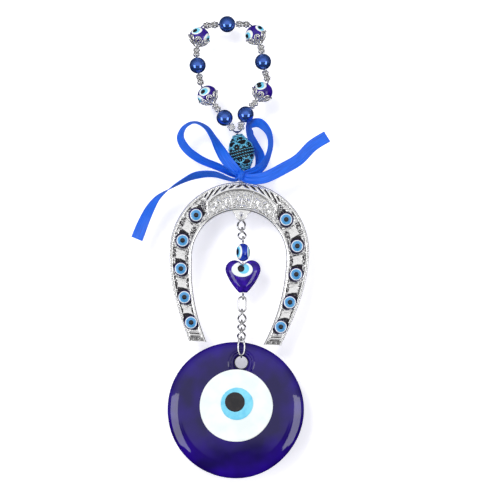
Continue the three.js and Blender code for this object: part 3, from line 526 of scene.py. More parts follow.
def nested_eye(surface, rings, segments=64, steps=None):
    """A raised glass eye made of ovals one inside another. surface(u, v, lift) gives points.
    rings run from the outermost in: (centre u, centre v, radius u, radius v, material)."""
    turn = np.linspace(0, 2 * np.pi, segments, endpoint=False)
    steps = steps or [3] * len(rings)

    def oval(ring, lift):
        u = ring[0] + ring[2] * np.cos(turn)
        v = ring[1] + ring[3] * np.sin(turn)
        return surface(u, v, np.full(segments, lift))

    rows = [oval(rings[0], -0.35)]
    marks = [rings[0][4]]
    for k, ring in enumerate(rings):
        inner = rings[k + 1] if k + 1 < len(rings) else (*ring[:2], 0.0, 0.0, ring[4])
        for i in range(steps[k]):
            t = i / steps[k]
            mixed = [ring[j] + (inner[j] - ring[j]) * t for j in range(4)]
            rows.append(oval(mixed, 0.0 if k == 0 and i == 0 else 0.05 + 0.05 * k))
            marks.append(ring[4])
    centre = surface(*(np.array([value]) for value in (*rings[-1][:2], 0.06 * len(rings))))
    points = np.concatenate([np.concatenate(rows), centre])
    faces = grid(len(rows), segments, False, True)
    face_marks = [mark for mark in marks[:-1] for _ in range(segments)]
    tip = len(points) - 1
    base = (len(rows) - 1) * segments
    for j in range(segments):
        faces.append((base + j, base + (j + 1) % segments, tip))
        face_marks.append(marks[-1])
    faces.append(tuple(range(segments))[::-1])
    face_marks.append(rings[0][4])
    return points, faces, face_marks


# The order of the glasses on an eye. A mark is a glass's number, and the body's glass is last.
EYE_GLASS = [WHITE, SKY, MID, BLACK]
STONE_GLASS = [WHITE, STONE, MID, BLACK, NAVY]
WHITE_MARK, SKY_MARK, MID_MARK, BLACK_MARK, BODY_MARK = range(5)

# ---------------------------------------------------------------- the beaded hanging loop

PEARL_RADIUS = 4.08
EYE_BEAD_RADIUS = 5.0
EYE_BEAD_HALF = 4.5
CORD_RADIUS = 0.4
TIE_POINT = np.array([4.5, 0, -49.6])
PETALS = 8
SPACER_REACH = 0.9                    # the grains reach a little past the sleeve at either end


def bored_profile(radius, half, bore, steps):
    """Half an oval with a rounded lip into the bore, as a closed profile."""
    start = math.asin((bore + 0.22) / radius)
    angle = np.linspace(start, np.pi - start, steps)
    skin = np.stack([radius * np.sin(angle), -half * np.cos(angle)], 1)
    end = half * math.cos(start)
    lip = [[bore + 0.08, end + 0.03], [bore, end - 0.15]]
    low = [[bore, -end + 0.15], [bore + 0.08, -end - 0.03]]
    return np.concatenate([skin, lip, low, skin[:1]])


def bead_joints():
    """Name, centre and axis of each bead of the loop, in order."""
    rows = []
    for joint in frame["joints"]:
        if joint["parent"] == "hanging_loop" and joint.get("continuous"):
            rows.append((joint["child"], pivot(joint["name"]), axis_of(joint["name"])))
    return rows


def pearl(name, centre, axis):
    """A pearl with a lip round its bore."""
    shape = Shape().put(spun(bored_profile(PEARL_RADIUS, PEARL_RADIUS, 0.6, 40), 64, centre, axis))
    return shape.make(name + "_skin", [PEARL], name, "pearl", name)


# Where the eyes of each lampwork bead look. Each has two more on its far side.
EYE_WAYS = {
    "eye_bead_upper_left": [(-0.30, -0.71, 0.63), (0.85, -0.45, -0.27)],
    "eye_bead_upper_right": [(0.56, -0.52, 0.64), (-0.75, -0.65, -0.12)],
    "eye_bead_lower_left": [(-0.32, -0.86, 0.40), (0.80, 0.35, 0.45)],
    "eye_bead_lower_right": [(-0.20, -0.77, 0.60), (0.75, 0.50, 0.20)],
}


def on_bead(centre, axis, way, pupil_side):
    """A surface round a point of an eye bead, for nested_eye, in millimetres along the bead."""
    way = unit(way)
    u_way = unit(pupil_side - way * np.dot(pupil_side, way))
    v_way = np.cross(way, u_way)
    axis = unit(axis)

    def surface(u, v, lift):
        angle = np.hypot(u, v) / EYE_BEAD_RADIUS
        turn = np.arctan2(v, u)
        out = around(angle, way, around(turn, u_way, v_way))
        along = out @ axis
        stretched = out * EYE_BEAD_RADIUS
        stretched -= (along * (EYE_BEAD_RADIUS - EYE_BEAD_HALF))[:, None] * axis
        return centre + stretched + out * (lift + 0.06)[:, None]

    return surface


def eye_bead(name, centre, axis):
    """A lampwork bead with four eyes."""
    shape = Shape()
    profile = bored_profile(EYE_BEAD_RADIUS, EYE_BEAD_HALF, 0.95, 44)
    shape.put(spun(profile, 72, centre, axis), BODY_MARK)
    ways = []
    for way in EYE_WAYS[name]:
        way = unit(way)
        far = 2 * axis * np.dot(way, axis) - way        # turned half way round the axis
        ways += [way, far]
    for way in ways:
        surface = on_bead(centre, axis, way, np.array([-0.6, 0, -0.2]))
        rings = [(0, 0, 3.1, 2.75, WHITE_MARK), (0.15, 0.3, 1.95, 1.8, SKY_MARK),
                 (0.75, 0.25, 1.25, 1.15, BLACK_MARK)]
        points, faces, marks = nested_eye(surface, rings, 48)
        shape.put((points, faces), marks)
    return shape.make(name + "_glass", [*EYE_GLASS, VIOLET], name, "blue_glass", name)


def petal_cap(name, centre, axis):
    """Openwork petals that hug the lower part of an eye bead, a collar and grains between."""
    node = name.replace("eye_bead", "petal_cap")
    toward = box(node)[2] - centre
    down = unit(axis) if np.dot(toward, axis) > 0 else -unit(axis)
    side, other = across(down)
    shape = Shape()

    def on_skin(polar, turn, lift):
        polar, turn = np.broadcast_arrays(np.asarray(polar, float), np.asarray(turn, float))
        return centre + around(polar, down * (EYE_BEAD_HALF + lift),
                               around(turn, side, other) * (EYE_BEAD_RADIUS + lift))

    t = np.linspace(0, 2 * np.pi, 40, endpoint=False)
    for k in range(PETALS):
        mid = 2 * np.pi * k / PETALS
        half = np.pi / PETALS * 0.86
        polar = math.radians(54) - math.radians(27) * np.cos(t)
        width = half * (0.62 + 0.38 * np.sin(t / 2) ** 2)
        outline = on_skin(polar, mid + width * np.sin(t), 0.42)
        shape.put(tube(outline, 0.35, 8, True))
        inner = on_skin(math.radians(57) - math.radians(13) * np.cos(t),
                        mid + half * 0.42 * np.sin(t), 0.34)
        shape.put(tube(inner, 0.22, 6, True))
        shape.put(ball(on_skin(math.radians(76), mid, 0.5), 0.42, 10))
        shape.put(ball(on_skin(math.radians(40), mid + np.pi / PETALS, 0.45), 0.36, 8), tone=0.3)
    ring = np.linspace(0, 2 * np.pi, 48, endpoint=False)
    for degrees, thick in ((26, 0.30), (19, 0.34)):
        shape.put(tube(on_skin(math.radians(degrees), ring, 0.5), thick, 8, True), tone=0.35)
    collar = [[1.0, EYE_BEAD_HALF + 0.15], [1.5, EYE_BEAD_HALF + 0.1], [1.75, EYE_BEAD_HALF + 0.45],
              [1.5, EYE_BEAD_HALF + 0.95], [1.25, EYE_BEAD_HALF + 1.1],
              [1.0, EYE_BEAD_HALF + 1.05], [1.0, EYE_BEAD_HALF + 0.15]]
    shape.put(spun(collar, 24, centre, down))
    return shape.make(node + "_openwork", [CAST], name, "silver", node)


def flower_spacer(index, axis):
    """Two small flower rondelles side by side, each a ring of grains round a sleeve."""
    node = f"flower_spacers_{index:02d}"
    centre = box(node)[2]
    length = spacer_length(node, axis) + SPACER_REACH
    shape = Shape()
    side, other = across(axis)
    thick = length * 0.235
    for k in (-1, 1):
        middle = centre + axis * k * length * 0.25
        body = [[1.0, -thick], [1.2, -thick], [1.4, -thick * 0.5], [1.45, 0],
                [1.4, thick * 0.5], [1.2, thick], [1.0, thick], [1.0, -thick]]
        shape.put(spun(body, 32, middle, axis), tone=0.7)
        for petal in range(6):
            turn = 2 * np.pi * (petal + 0.25 * k) / 6
            out = around(np.array(turn), side, other)
            shape.put(ball(middle + out * 1.32, 0.62, 12))
            lean = 2 * np.pi * (petal + 0.5 + 0.25 * k) / 6
            out = around(np.array(lean), side, other)
            for end in (k, -k):
                shape.put(ball(middle + out * 1.16 + axis * end * thick * 0.8, 0.34, 8), tone=0.1)
    return shape.make(node + "_flowers", [CAST], "hanging_loop", "silver", node)


def spacer_length(node, axis):
    """How long a CAD spacer is along its axis."""
    along = node_points(node) @ axis
    return along.max() - along.min()


def hanging_loop():
    """Every bead, cap and spacer of the loop, and the cord through them."""
    beads = bead_joints()
    for name, centre, axis in beads:
        if name.startswith("pearl"):
            pearl(name, centre, axis)
        else:
            eye_bead(name, centre, axis)
            petal_cap(name, centre, axis)
    for index in range(1, len(beads) + 2):
        points = node_points(f"flower_spacers_{index:02d}")
        points -= points.mean(0)
        before = TIE_POINT if index == 1 else beads[index - 2][1]
        after = TIE_POINT if index > len(beads) else beads[index - 1][1]
        flower_spacer(index, best_axis(points, after - before))
    cord(beads)


def best_axis(points, guess):
    """The turning axis of a spacer's points, near a guess: they all lie round it."""
    guess = unit(guess)
    _, _, directions = np.linalg.svd(points, full_matrices=False)
    found = max(directions, key=lambda way: abs(np.dot(way, guess)))
    return found * np.sign(np.dot(found, guess))


def cord(beads):
    """The plied stringing cord through every bead, and the whipping that ties its two ends."""
    points = [TIE_POINT + (-0.5, 0, 0), TIE_POINT + (-1.95, 0, 0.9)]
    for name, centre, axis in beads:
        half = PEARL_RADIUS if name.startswith("pearl") else EYE_BEAD_HALF + 0.9
        points += [centre - axis * half, centre, centre + axis * half]
    points += [TIE_POINT + (1.95, 0, 0.9), TIE_POINT + (0.5, 0, 0)]
    shape = Shape()
    for strand in plied(cubic(points, 12), CORD_RADIUS, 2.2):
        shape.put(strand)
    turn = np.linspace(0, 2 * np.pi * 5, 120)
    coil = TIE_POINT + np.stack([0.78 * np.cos(turn), 0.78 * np.sin(turn),
                                 np.linspace(-0.42, 0.5, 120)], 1)
    shape.put(tube(coil, 0.17, 7))
    core = [[0.02, -0.5], [0.62, -0.5], [0.66, 0.0], [0.62, 0.5], [0.02, 0.5]]
    shape.put(spun(core, 20, TIE_POINT))
    return shape.make("stringing_cord_plied", [THREAD], "hanging_loop", "thread", "stringing_cord")


hanging_loop()

# ---------------------------------------------------------------- drop bead and stem

DROP_RADIUS = 6.5
DROP_HALF = 9.0
DROP_GAP = 0.3
DROP_TOP = pivot("drop_bead_spin")
DROP_AXIS = axis_of("drop_bead_spin")
TOP_PIVOT = pivot("horseshoe_tilt")


def curl(start, heading, length, ends, middle, mirror=1, count=44):
    """A scroll: its bend is gentle at the middle and tight at its ends, as (u, v) points."""
    share = np.linspace(-1, 1, count)
    bend = mirror * (middle + (ends - middle) * np.abs(share) ** 3)
    angle = heading + np.cumsum(bend) * length / count
    step = np.stack([np.cos(angle), np.sin(angle)], 1) * length / count
    return np.asarray(start, float) + np.cumsum(step, 0) - step[0]


def ridge_height(place, lines, half_width):
    """The height from 0 to 1 of rounded ridges along lines, at each (u, v) of place."""
    spots = np.concatenate(lines)
    best = np.full(len(place), 1e9)
    for chunk in range(0, len(place), 4000):
        piece = place[chunk:chunk + 4000]
        gap = np.linalg.norm(piece[:, None] - spots[None], axis=2)
        best[chunk:chunk + 4000] = gap.min(1)
    return bump(np.minimum(best, half_width), half_width)


def drop_profile(v):
    """Radius of the drop bead at a height along it."""
    at = np.array([-1, -0.93, -0.88, -0.58, -0.25, -0.05, 0.1, 0.34, 0.66, 0.9, 0.95, 1]) * DROP_HALF
    size = np.array([0.40, 0.44, 0.45, 0.78, 0.95, 1, 1, 0.93, 0.72, 0.46, 0.44, 0.40]) * DROP_RADIUS
    return np.interp(v, at, size)


def drop_bead():
    """The carved bead: scrollwork above and below three twisted ropes."""
    rows, columns = 220, 300
    v = np.linspace(-DROP_HALF, DROP_HALF, rows)
    smooth = np.array([drop_profile(v + d) for d in np.linspace(-0.5, 0.5, 9)]).mean(0)
    turn = np.linspace(0, 2 * np.pi, columns, endpoint=False)
    scale = 5.3                                   # unrolls the turn at about the bead's radius
    lap = 2 * np.pi * scale
    place = np.stack([np.tile(turn * scale, rows), np.repeat(v, columns)], 1)

    # Scrolls above and below the ropes, five times round, each with curls beside it.
    lines = []
    for k in range(6):
        middle = lap * (k + 0.5) / 5
        for flip in (1, -1):
            base = 4.3 * flip + (0.75 if flip > 0 else -1.15)
            for hand in (-1, 1):
                up = np.pi / 2 - 0.8 * hand
                down = np.pi - up
                # Each curl: its start beside and above the middle, heading, length, bends, hand.
                for beside, above, heading, length, ends, bend, way in (
                        (1.3, -1.7, up, 6.8, 1.9, 0.4, 1), (0.4, 1.0, down, 5.0, 1.7, 0.3, -1),
                        (2.9, -1.8, up, 3.4, 1.5, 0.5, -1), (2.7, 0.9, down, 3.6, 1.6, 0.4, 1)):
                    lines.append(curl((middle + beside * hand, base + above * flip),
                                      heading * flip, length, ends, bend, way * hand * flip))
            lines.append(curl((middle - 0.2, base - 0.6 * flip), 1.5 * flip, 3.4, 0.3, 0.2, flip))
    lines = [line + (shift, 0) for line in lines for shift in (-lap, 0)]
    scrolls = ridge_height(place, lines, 0.34)
    dots = [np.array([[lap * (k + 0.5 * (row % 2)) / 10, at]])
            for k in range(-1, 11) for row, at in enumerate((2.75, 7.0, -3.75, -7.1))]
    grains_high = ridge_height(place, dots, 0.42)

    # Three twisted ropes round the middle and a plain bead at each end of the carving.
    ropes = np.zeros(len(place))
    for at in (1.05, -0.45, -1.95):
        strand = 0.6 + 0.4 * np.cos(30 * place[:, 0] / scale + (place[:, 1] - at) * 5)
        ropes = np.maximum(ropes, bump(place[:, 1] - at, 0.5) * strand)
    rims = np.maximum(bump(place[:, 1] - 7.75, 0.35), bump(place[:, 1] + 7.75, 0.35))
    carved = (np.abs(place[:, 1] + 0.45) > 2.35) & (np.abs(place[:, 1]) < 7.5)
    high = np.maximum.reduce([scrolls * carved, grains_high * carved, ropes, rims])
    plain = smoothstep(8.0, 8.3, np.abs(place[:, 1]))
    bands = 0.25 + 0.5 * bump(np.abs(place[:, 1]) - 8.55, 0.35)
    high = high * (1 - plain) + bands * plain
    rough = grains(np.stack([np.cos(place[:, 0] / scale) * 5, np.sin(place[:, 0] / scale) * 5,
                             place[:, 1]], 1), 0.9)
    radius = np.repeat(smooth, columns) - 0.42 + 0.5 * high + 0.06 * rough
    side, other = across(-DROP_AXIS)
    centre = DROP_TOP + DROP_AXIS * (DROP_HALF + DROP_GAP)
    points = (centre + radius[:, None] * around(np.tile(turn, rows), side, other)
              + place[:, 1][:, None] * -DROP_AXIS)
    bore = [centre - DROP_AXIS * at + wide * around(turn, side, other)
            for at, wide in ((DROP_HALF, 1.5), (DROP_HALF - 0.2, 1.05), (0.2 - DROP_HALF, 1.05),
                             (-DROP_HALF, 1.5))]
    points = np.concatenate([points, *bore])
    shape = Shape().put((points, grid(rows + 4, columns, True, True)),
                        tone=np.concatenate([high, np.full(4 * columns, 0.1)]))
    return shape.make("drop_bead_carved", [CARVED], "drop_bead", "drop_bead", "drop_bead")


def stem():
    """The doubled cord through the drop bead, and the small ring through the horseshoe's eye."""
    drop = DROP_AXIS * (2 * DROP_HALF + 2 * DROP_GAP)
    ring_radius = TOP_PIVOT[2] - box("stem_cord")[0][2] - 0.45
    line = cubic([*(DROP_TOP + drop * share for share in (0, 0.5, 0.93, 1)),
                  TOP_PIVOT + (0, 0, ring_radius)], 20)
    shape = Shape()
    for strand in plied(line, 0.68, 3.0):
        shape.put(strand)
    turn = np.linspace(0, 2 * np.pi, 64, endpoint=False)
    ring = TOP_PIVOT + ring_radius * np.stack([0 * turn, np.cos(turn), np.sin(turn)], 1)
    for strand in plied(ring, 0.44, 1.6, 3, True):
        shape.put(strand)
    return shape.make("stem_cord_plied", [THREAD], "bow", "thread", "stem_cord")


drop_bead()
stem()

# ---------------------------------------------------------------- ribbon bow

RIBBON_WIDTH = 6.0
RIBBON_THICKNESS = 0.34

# Ribbon routes: x, y, z and the turn of the strip's face in degrees.
ROUTES = {
    "ribbon_loop_left": [
        (5.4, -4.5, -71.4, 60), (2.8, -4.4, -70.8, 60), (-4.0, -4.6, -67.4, 55),
        (-13.9, -3.8, -63.2, 52),
        (-20.9, -3.0, -57.8, 48), (-23.7, -2.4, -52.2, 55), (-21.7, -2.0, -47.2, 70),
        (-16.8, -2.0, -44.8, 80), (-11.2, -2.6, -47.2, 70), (-7.5, -3.6, -52.2, 62),
        (-4.0, -5.0, -58.4, 35), (-0.5, -6.0, -64.0, 5), (3.6, -6.0, -68.4, 0),
        (5.7, -5.2, -70.8, 0),
    ],
    "ribbon_loop_right": [
        (7.8, -3.7, -71.6, 50), (10.9, -1.6, -71.2, 50), (15.4, 1.6, -67.8, 40),
        (16.0, 4.6, -61.5, 40),
        (13.2, 6.9, -55.5, 45), (11.0, 6.7, -49.8, 60), (11.3, 3.8, -45.8, 60),
        (15.6, -0.4, -45.2, 40), (19.6, -2.6, -48.9, 55), (21.2, -3.4, -54.2, 66),
        (20.3, -4.0, -60.6, 68), (17.4, -4.4, -66.2, 50), (13.6, -3.8, -69.2, 35),
        (10.2, -3.6, -70.4, 30), (7.6, -4.3, -71.0, 30),
    ],
    "ribbon_tail_left": [
        (5.6, -4.6, -72.6, 75), (2.9, -4.4, -73.5, 75), (-6.8, -4.6, -70.7, 62),
        (-15.3, -4.4, -71.1, 55),
        (-22.3, -4.2, -73.9, 72), (-29.3, -4.0, -78.1, 90), (-34.9, -3.6, -82.3, 115),
        (-38.5, -3.2, -87.2, 135), (-42.0, -2.6, -94.2, 155), (-45.5, -2.0, -103.0, 175),
    ],
    "ribbon_tail_right": [
        (7.0, -5.3, -71.9, 20), (9.8, -6.0, -73.0, 20), (17.7, -7.2, -72.6, 8),
        (28.2, -6.6, -67.6, 5),
        (35.2, -5.4, -63.4, 0), (42.2, -4.2, -56.4, 0), (49.5, -3.2, -51.8, 0),
    ],
}
KNOT_CENTRE = np.array([6.4, -4.7, -71.3])
KNOT_HALF = np.array([2.5, 3.1, 3.1])


def lay_flat(piece, flat):
    """Gives a ribbon piece its map for the satin, from places in millimetres at each point."""
    layer = piece.data.uv_layers.new(name="ribbon")
    corners = np.empty(len(piece.data.loops), int)
    piece.data.loops.foreach_get("vertex_index", corners)
    layer.data.foreach_set("uv", flat[corners].ravel())


def ribbon_strip(name):
    """One strip along its route. Returns the piece and its middle line."""
    route = np.array(ROUTES[name], float)
    line = cubic(route[:, :3], 24)
    at = np.linspace(0, len(route) - 1, len(line))
    turn = np.radians(np.interp(at, np.arange(len(route)), route[:, 3]))
    ease = np.ones(13) / 13
    turn = np.convolve(np.pad(turn, 6, "edge"), ease, "valid")
    along = np.gradient(line, axis=0)
    along /= np.linalg.norm(along, axis=1)[:, None]
    depth = np.array([0.0, 1, 0])
    side = np.cross(along, depth)
    side /= np.linalg.norm(side, axis=1)[:, None]
    wide = side * np.cos(turn)[:, None] + depth * np.sin(turn)[:, None]
    wide -= along * np.sum(wide * along, axis=1)[:, None]
    wide /= np.linalg.norm(wide, axis=1)[:, None]
    face = np.cross(along, wide)

    # The ribbon is pulled together at the knot and is slightly cupped, with soft creases.
    place = places(line)
    from_knot = np.minimum(place, place[-1] - place) if "loop" in name else place
    near = np.exp(-from_knot / 5.0)
    across_share = np.linspace(-1, 1, 25)
    rows = []
    pull = 1 - 0.36 * near
    for share in across_share:
        crease = 0.42 * near * np.cos(share * 7.5) + 0.10 * (share ** 2 - 0.4)
        ripple = 0.09 * np.sin(place * 0.55 + share * 1.8) * (0.4 + 0.6 * near)
        rows.append(line + wide * (share * RIBBON_WIDTH / 2 * pull)[:, None]
                    + face * (crease + ripple)[:, None])
    top = np.stack(rows, 1)
    edge = 1 + 0.5 * bump(np.abs(across_share) - 0.96, 0.05)
    half = RIBBON_THICKNESS / 2 * edge[None, :, None]
    upper, lower = top + face[:, None] * half, top - face[:, None] * half
    loop = np.concatenate([upper, lower[:, ::-1]], 1)
    count, columns = loop.shape[:2]
    shape = Shape().put((loop.reshape(-1, 3), capped(count, columns)))
    piece = shape.make(name + "_satin", [SATIN], "bow", "ribbon", name, sharp=60)
    flat = np.concatenate([across_share, across_share[::-1]]) * RIBBON_WIDTH / 2
    lay_flat(piece, np.stack([np.repeat(place, columns), np.tile(flat, count)], 1))
    return piece, line


def knot():
    """The tied middle of the bow: a tight wrap with folds running aslant over it."""
    rows, columns = 60, 84
    polar = np.linspace(0.02, np.pi - 0.02, rows)
    turn = np.linspace(0, 2 * np.pi, columns, endpoint=False)
    p, t = np.meshgrid(polar, turn, indexing="ij")
    way = np.stack([np.cos(p), np.sin(p) * np.cos(t), np.sin(p) * np.sin(t)], 2)
    slant = way[..., 0] * 4.8 + way[..., 2] * 1.5
    fold = 0.05 * np.sin(slant * 1.9) + 0.03 * np.sin(slant * 4.1 + way[..., 2] * 2)
    band = 0.12 * smoothstep(0.62, 0.5, np.abs(way[..., 0] - 0.2 * way[..., 2]))
    points = KNOT_CENTRE + way * KNOT_HALF * (0.80 + fold + band)[..., None]
    shape = Shape().put((points.reshape(-1, 3), capped(rows, columns)))
    piece = shape.make("ribbon_knot_satin", [SATIN], "bow", "ribbon", "ribbon_knot")
    lay_flat(piece, np.stack([points[..., 2].ravel() * 1.2, points[..., 0].ravel()], 1))
    return piece


def bow():
    """The knot and the four strips that run out of it."""
    middle = knot()
    for name in ROUTES:
        piece, line = ribbon_strip(name)
        path = line * MM
        loop = "loop" in name
        tuple(path[0])
        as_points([tuple(p) for p in path[::3]] + [tuple(path[-1])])


bow()

# ---------------------------------------------------------------- horseshoe, in its own frame
# Its frame's origin is the middle of the crown's outer edge, and z runs up.

SHOE_TOP = np.array([7.4, 0, -74.65])
SHOE_LEAN = math.radians(2.8)
SHOE_RADIUS = 34.8
SHOE_HEIGHT = 80.6
SHOE_TOP_BAND = 13.9
ARM_WIDTH = 11.1
FOOT_OUTER = 22.9
FOOT_INNER = 14.3
INNER_RADIUS = SHOE_RADIUS - ARM_WIDTH
INNER_CENTRE = SHOE_TOP_BAND + INNER_RADIUS
FRONT, BACK = -2.0, 2.0
RIM = 1.7
LUG_HOLE_DEPTH = -SHOE_TOP_BAND - 2.1
EYE_RAISE = 1.3
CABOCHON_RADIUS = 3.4
CABOCHON_HEIGHT = 2.4
SEAT_FLOOR = FRONT + 1.2


def leaned(points):
    """Points of the horseshoe's frame, given as x, y, z, in the ornament's frame."""
    x, y, z = np.moveaxis(np.asarray(points, float), -1, 0)
    return np.stack([SHOE_TOP[0] + x * math.cos(SHOE_LEAN) + z * math.sin(SHOE_LEAN), y,
                     SHOE_TOP[2] - x * math.sin(SHOE_LEAN) + z * math.cos(SHOE_LEAN)], -1)


def unleaned(point):
    """x and z in the horseshoe's frame of a point of the ornament's frame."""
    x, z = point[0] - SHOE_TOP[0], point[2] - SHOE_TOP[2]
    return np.array([x * math.cos(SHOE_LEAN) - z * math.sin(SHOE_LEAN),
                     x * math.sin(SHOE_LEAN) + z * math.cos(SHOE_LEAN)])


def shoe_edge(radius, depth, foot, reach, count):
    """Half an edge: a quarter circle from the crown, then a curve down to the foot."""
    angle = np.linspace(0, np.pi / 2, count)
    arc = np.stack([radius * np.sin(angle), -depth + radius * np.cos(angle)], 1)
    drop = SHOE_HEIGHT - depth
    a, b = np.array([radius, -depth]), np.array([radius, -depth - drop * 0.37])
    c = np.array([foot + (radius - foot) * reach, -SHOE_HEIGHT + drop * 0.32])
    d = np.array([foot, -SHOE_HEIGHT])
    t = np.linspace(0, 1, int(count * 11 / 14))[1:, None]
    leg = (1 - t)**3 * a + 3 * (1 - t)**2 * t * b + 3 * (1 - t) * t**2 * c + t**3 * d
    return np.concatenate([arc, leg])


def shoe_rows():
    """Outer and inner edge points at even steps along the casting, from foot to foot."""
    outer = shoe_edge(SHOE_RADIUS, SHOE_RADIUS, FOOT_OUTER, 0.52, 700)
    inner = shoe_edge(INNER_RADIUS, INNER_CENTRE, FOOT_INNER, 0.68, 700)
    middle = (outer + inner) / 2
    place = places(middle)
    at = np.linspace(0, place[-1], 640)
    outer, inner = (np.stack([np.interp(at, place, e[:, k]) for k in (0, 1)], 1)
                    for e in (outer, inner))
    mirror = np.array([-1.0, 1.0])
    full = (np.concatenate([(e * mirror)[::-1], e[1:]]) for e in (outer, inner))
    return (*full, np.concatenate([-at[::-1], at[1:]]))


def scroll_panel(x, z):
    """Generic scrollwork for the crown's panel: curls on either side of a small flower."""
    lines = []
    for flip in (-1, 1):
        out = 0.0 if flip > 0 else np.pi
        for k in range(5):
            at, low = 6.7 + 2.35 * k, -9.0 - 0.27 * k - 0.10 * k * k
            way = flip * (1 if k % 2 else -1)
            size = 4.6 - 0.25 * k
            lines.append(curl((flip * at, low - 0.3), out + flip * 0.9, size, 2.6, 0.4, way, 26))
            lines.append(curl((flip * (at + 0.5), low - 2.6), out - flip * 0.5, size, 2.4, 0.3,
                              -way, 26))
            lines.append(curl((flip * (at - 0.4), low - 4.4), out + flip * 0.4, 2.6, 2.0, 0.5,
                              way, 20))
        # Beside the flower: start, lean from upright, length, bends at the ends and middle, hand.
        for x0, z0, lean, size, ends, bend, hand, count in (
                (0.9, -12.4, 0.7, 5.6, 1.9, 0.2, -1, 30), (2.6, -12.7, 0.2, 3.8, 2.1, 0.3, 1, 26),
                (1.3, -6.6, 1.5, 3.4, 1.9, 0.4, -1, 24), (2.1, -8.6, 0.9, 3.0, 2.2, 0.4, -1, 24)):
            lines.append(curl((flip * x0, z0), np.pi / 2 - lean * flip, size, ends, bend,
                              hand * flip, count))
    for petal in range(6):
        turn = 2 * np.pi * petal / 6 + np.pi / 2
        reach = np.linspace(0.35, 1.35, 8)[:, None]
        lines.append(np.array([0, -9.4]) + reach * (math.cos(turn), math.sin(turn)))
    return ridge_height(np.stack([x, z], 1), lines, 0.40)


def line_gap(x, z, a, b):
    """How far each point is from the straight line between two points."""
    a, b = np.asarray(a, float), np.asarray(b, float)
    p = np.stack([x, z], 1) - a
    share = np.clip(p @ (b - a) / np.dot(b - a, b - a), 0, 1)
    return np.linalg.norm(p - share[:, None] * (b - a), axis=1)


class Face:
    """The casting's front, point by point: how far each lies back, and how dark it is, from patina
    and in places from painted shade.
    """

    def __init__(self, x, z, from_outer, from_inner, run):
        self.x, self.z, self.run = x, z, run
        self.outer, self.inner = from_outer, from_inner
        self.off_middle = (from_outer - from_inner) / 2
        self.side = np.abs(run)
        self.end = self.side.max()
        self.channel = (smoothstep(RIM - 0.25, RIM + 0.15, from_outer)
                        * smoothstep(RIM - 0.25, RIM + 0.15, from_inner))
        self.rough = grains(np.stack([x, 0 * x, z], 1), 0.5)
        self.fine = grains(np.stack([x, 0 * x + 9, z], 1), 1.5)
        self.depth, self.tone = 0 * x, 0 * x

    def add(self, depth, tone):
        self.depth = self.depth + depth
        self.tone = self.tone + tone

    def mix(self, mask, depth, tone):
        """Mixes another depth and tone in where a mask is above 0."""
        self.depth = self.depth * (1 - mask) + mask * depth
        self.tone = self.tone * (1 - mask) + mask * tone


def arm_channel(face, stones):
    """A pitted channel between the rims of each arm, with bright blocks between the stones."""
    rough, fine = face.rough, face.fine
    arm = (smoothstep(stones[0] - 7.6, stones[0] - 7.1, face.side)
           * (1 - smoothstep(face.end - 5.6, face.end - 5.3, face.side)))
    floor = face.channel * arm
    face.add((0.9 + 0.12 * rough + 0.1 * fine) * floor, floor * (0.30 + 0.6 * rough + 0.4 * fine))
    # Darker along the foot of both channel walls.
    walls = bump(face.outer - RIM - 0.1, 0.45) + bump(face.inner - RIM - 0.1, 0.4)
    wall_foot_darkening = np.clip(0.35 + 0.6 * fine + 0.5 * rough, 0, 0.8)
    face.add(0, wall_foot_darkening * np.clip(walls, 0, 1) * arm)
    for stone, after in zip(stones[:-1], stones[1:]):
        u = face.side - (stone + after) / 2
        reach = 3.0 - 0.75 * (1 - np.clip(np.abs(u) / 2.3, 0, 1) ** 2)
        block = (smoothstep(2.55, 2.3, np.abs(u))
                 * smoothstep(reach + 0.12, reach - 0.15, np.abs(face.off_middle)))
        # Painted shade: a dark outline in the channel round each block, where it meets the floor.
        moat_shade = smoothstep(3.1, 2.8, np.abs(u)) * face.channel * (1 - block)
        face.add(0, 0.75 * moat_shade * np.clip(0.55 + rough + 0.4 * fine, 0, 1))
        dish = 0.07 * bump(u, 2.4) * bump(face.off_middle, 2.8) + 0.04 * fine
        face.mix(block, dish - 0.06, 0)


def stone_seats(face, stones):
    """A round seat for each stone, with a bright lip below it and a sunken crescent above it,
    painted dark as the stone's shadow and reflection.
    """
    for stone in stones:
        u = face.side - stone
        from_rim = np.hypot(u, face.off_middle) - CABOCHON_RADIUS
        seat = smoothstep(0.3, 0.1, from_rim)
        lip = bump(from_rim - 0.62, 0.36) * smoothstep(-1.2, 0.4, u)
        # Painted shadow and reflection: a sunken crescent above each stone is painted full dark.
        sunken_shade_crescent = (smoothstep(1.55, 1.3, from_rim) * smoothstep(-1.8, -2.6, u)
                  * smoothstep(3.1, 2.8, np.abs(face.off_middle)))
        depth = face.depth * (1 - 0.75 * lip) * (1 - seat) + 1.2 * seat
        face.depth = depth * (1 - sunken_shade_crescent) + 1.15 * sunken_shade_crescent
        face.tone = np.maximum(face.tone * (1 - 0.8 * lip), np.maximum(seat, sunken_shade_crescent))


def hatched_pocket(face, first):
    """A cross-hatched pocket on the crown's side of the first stone."""
    at, across_it = face.side - (first - 5.9), face.off_middle
    pocket = smoothstep(1.65, 1.45, np.abs(at)) * smoothstep(3.4, 3.2, np.abs(across_it))
    hatch = np.maximum(np.cos((at + across_it) * 4.6), np.cos((at - across_it) * 4.6))
    thread = smoothstep(0.35, 0.95, hatch)
    face.mix(pocket, 0.85 - 0.4 * thread, 0.95 - 0.95 * thread)


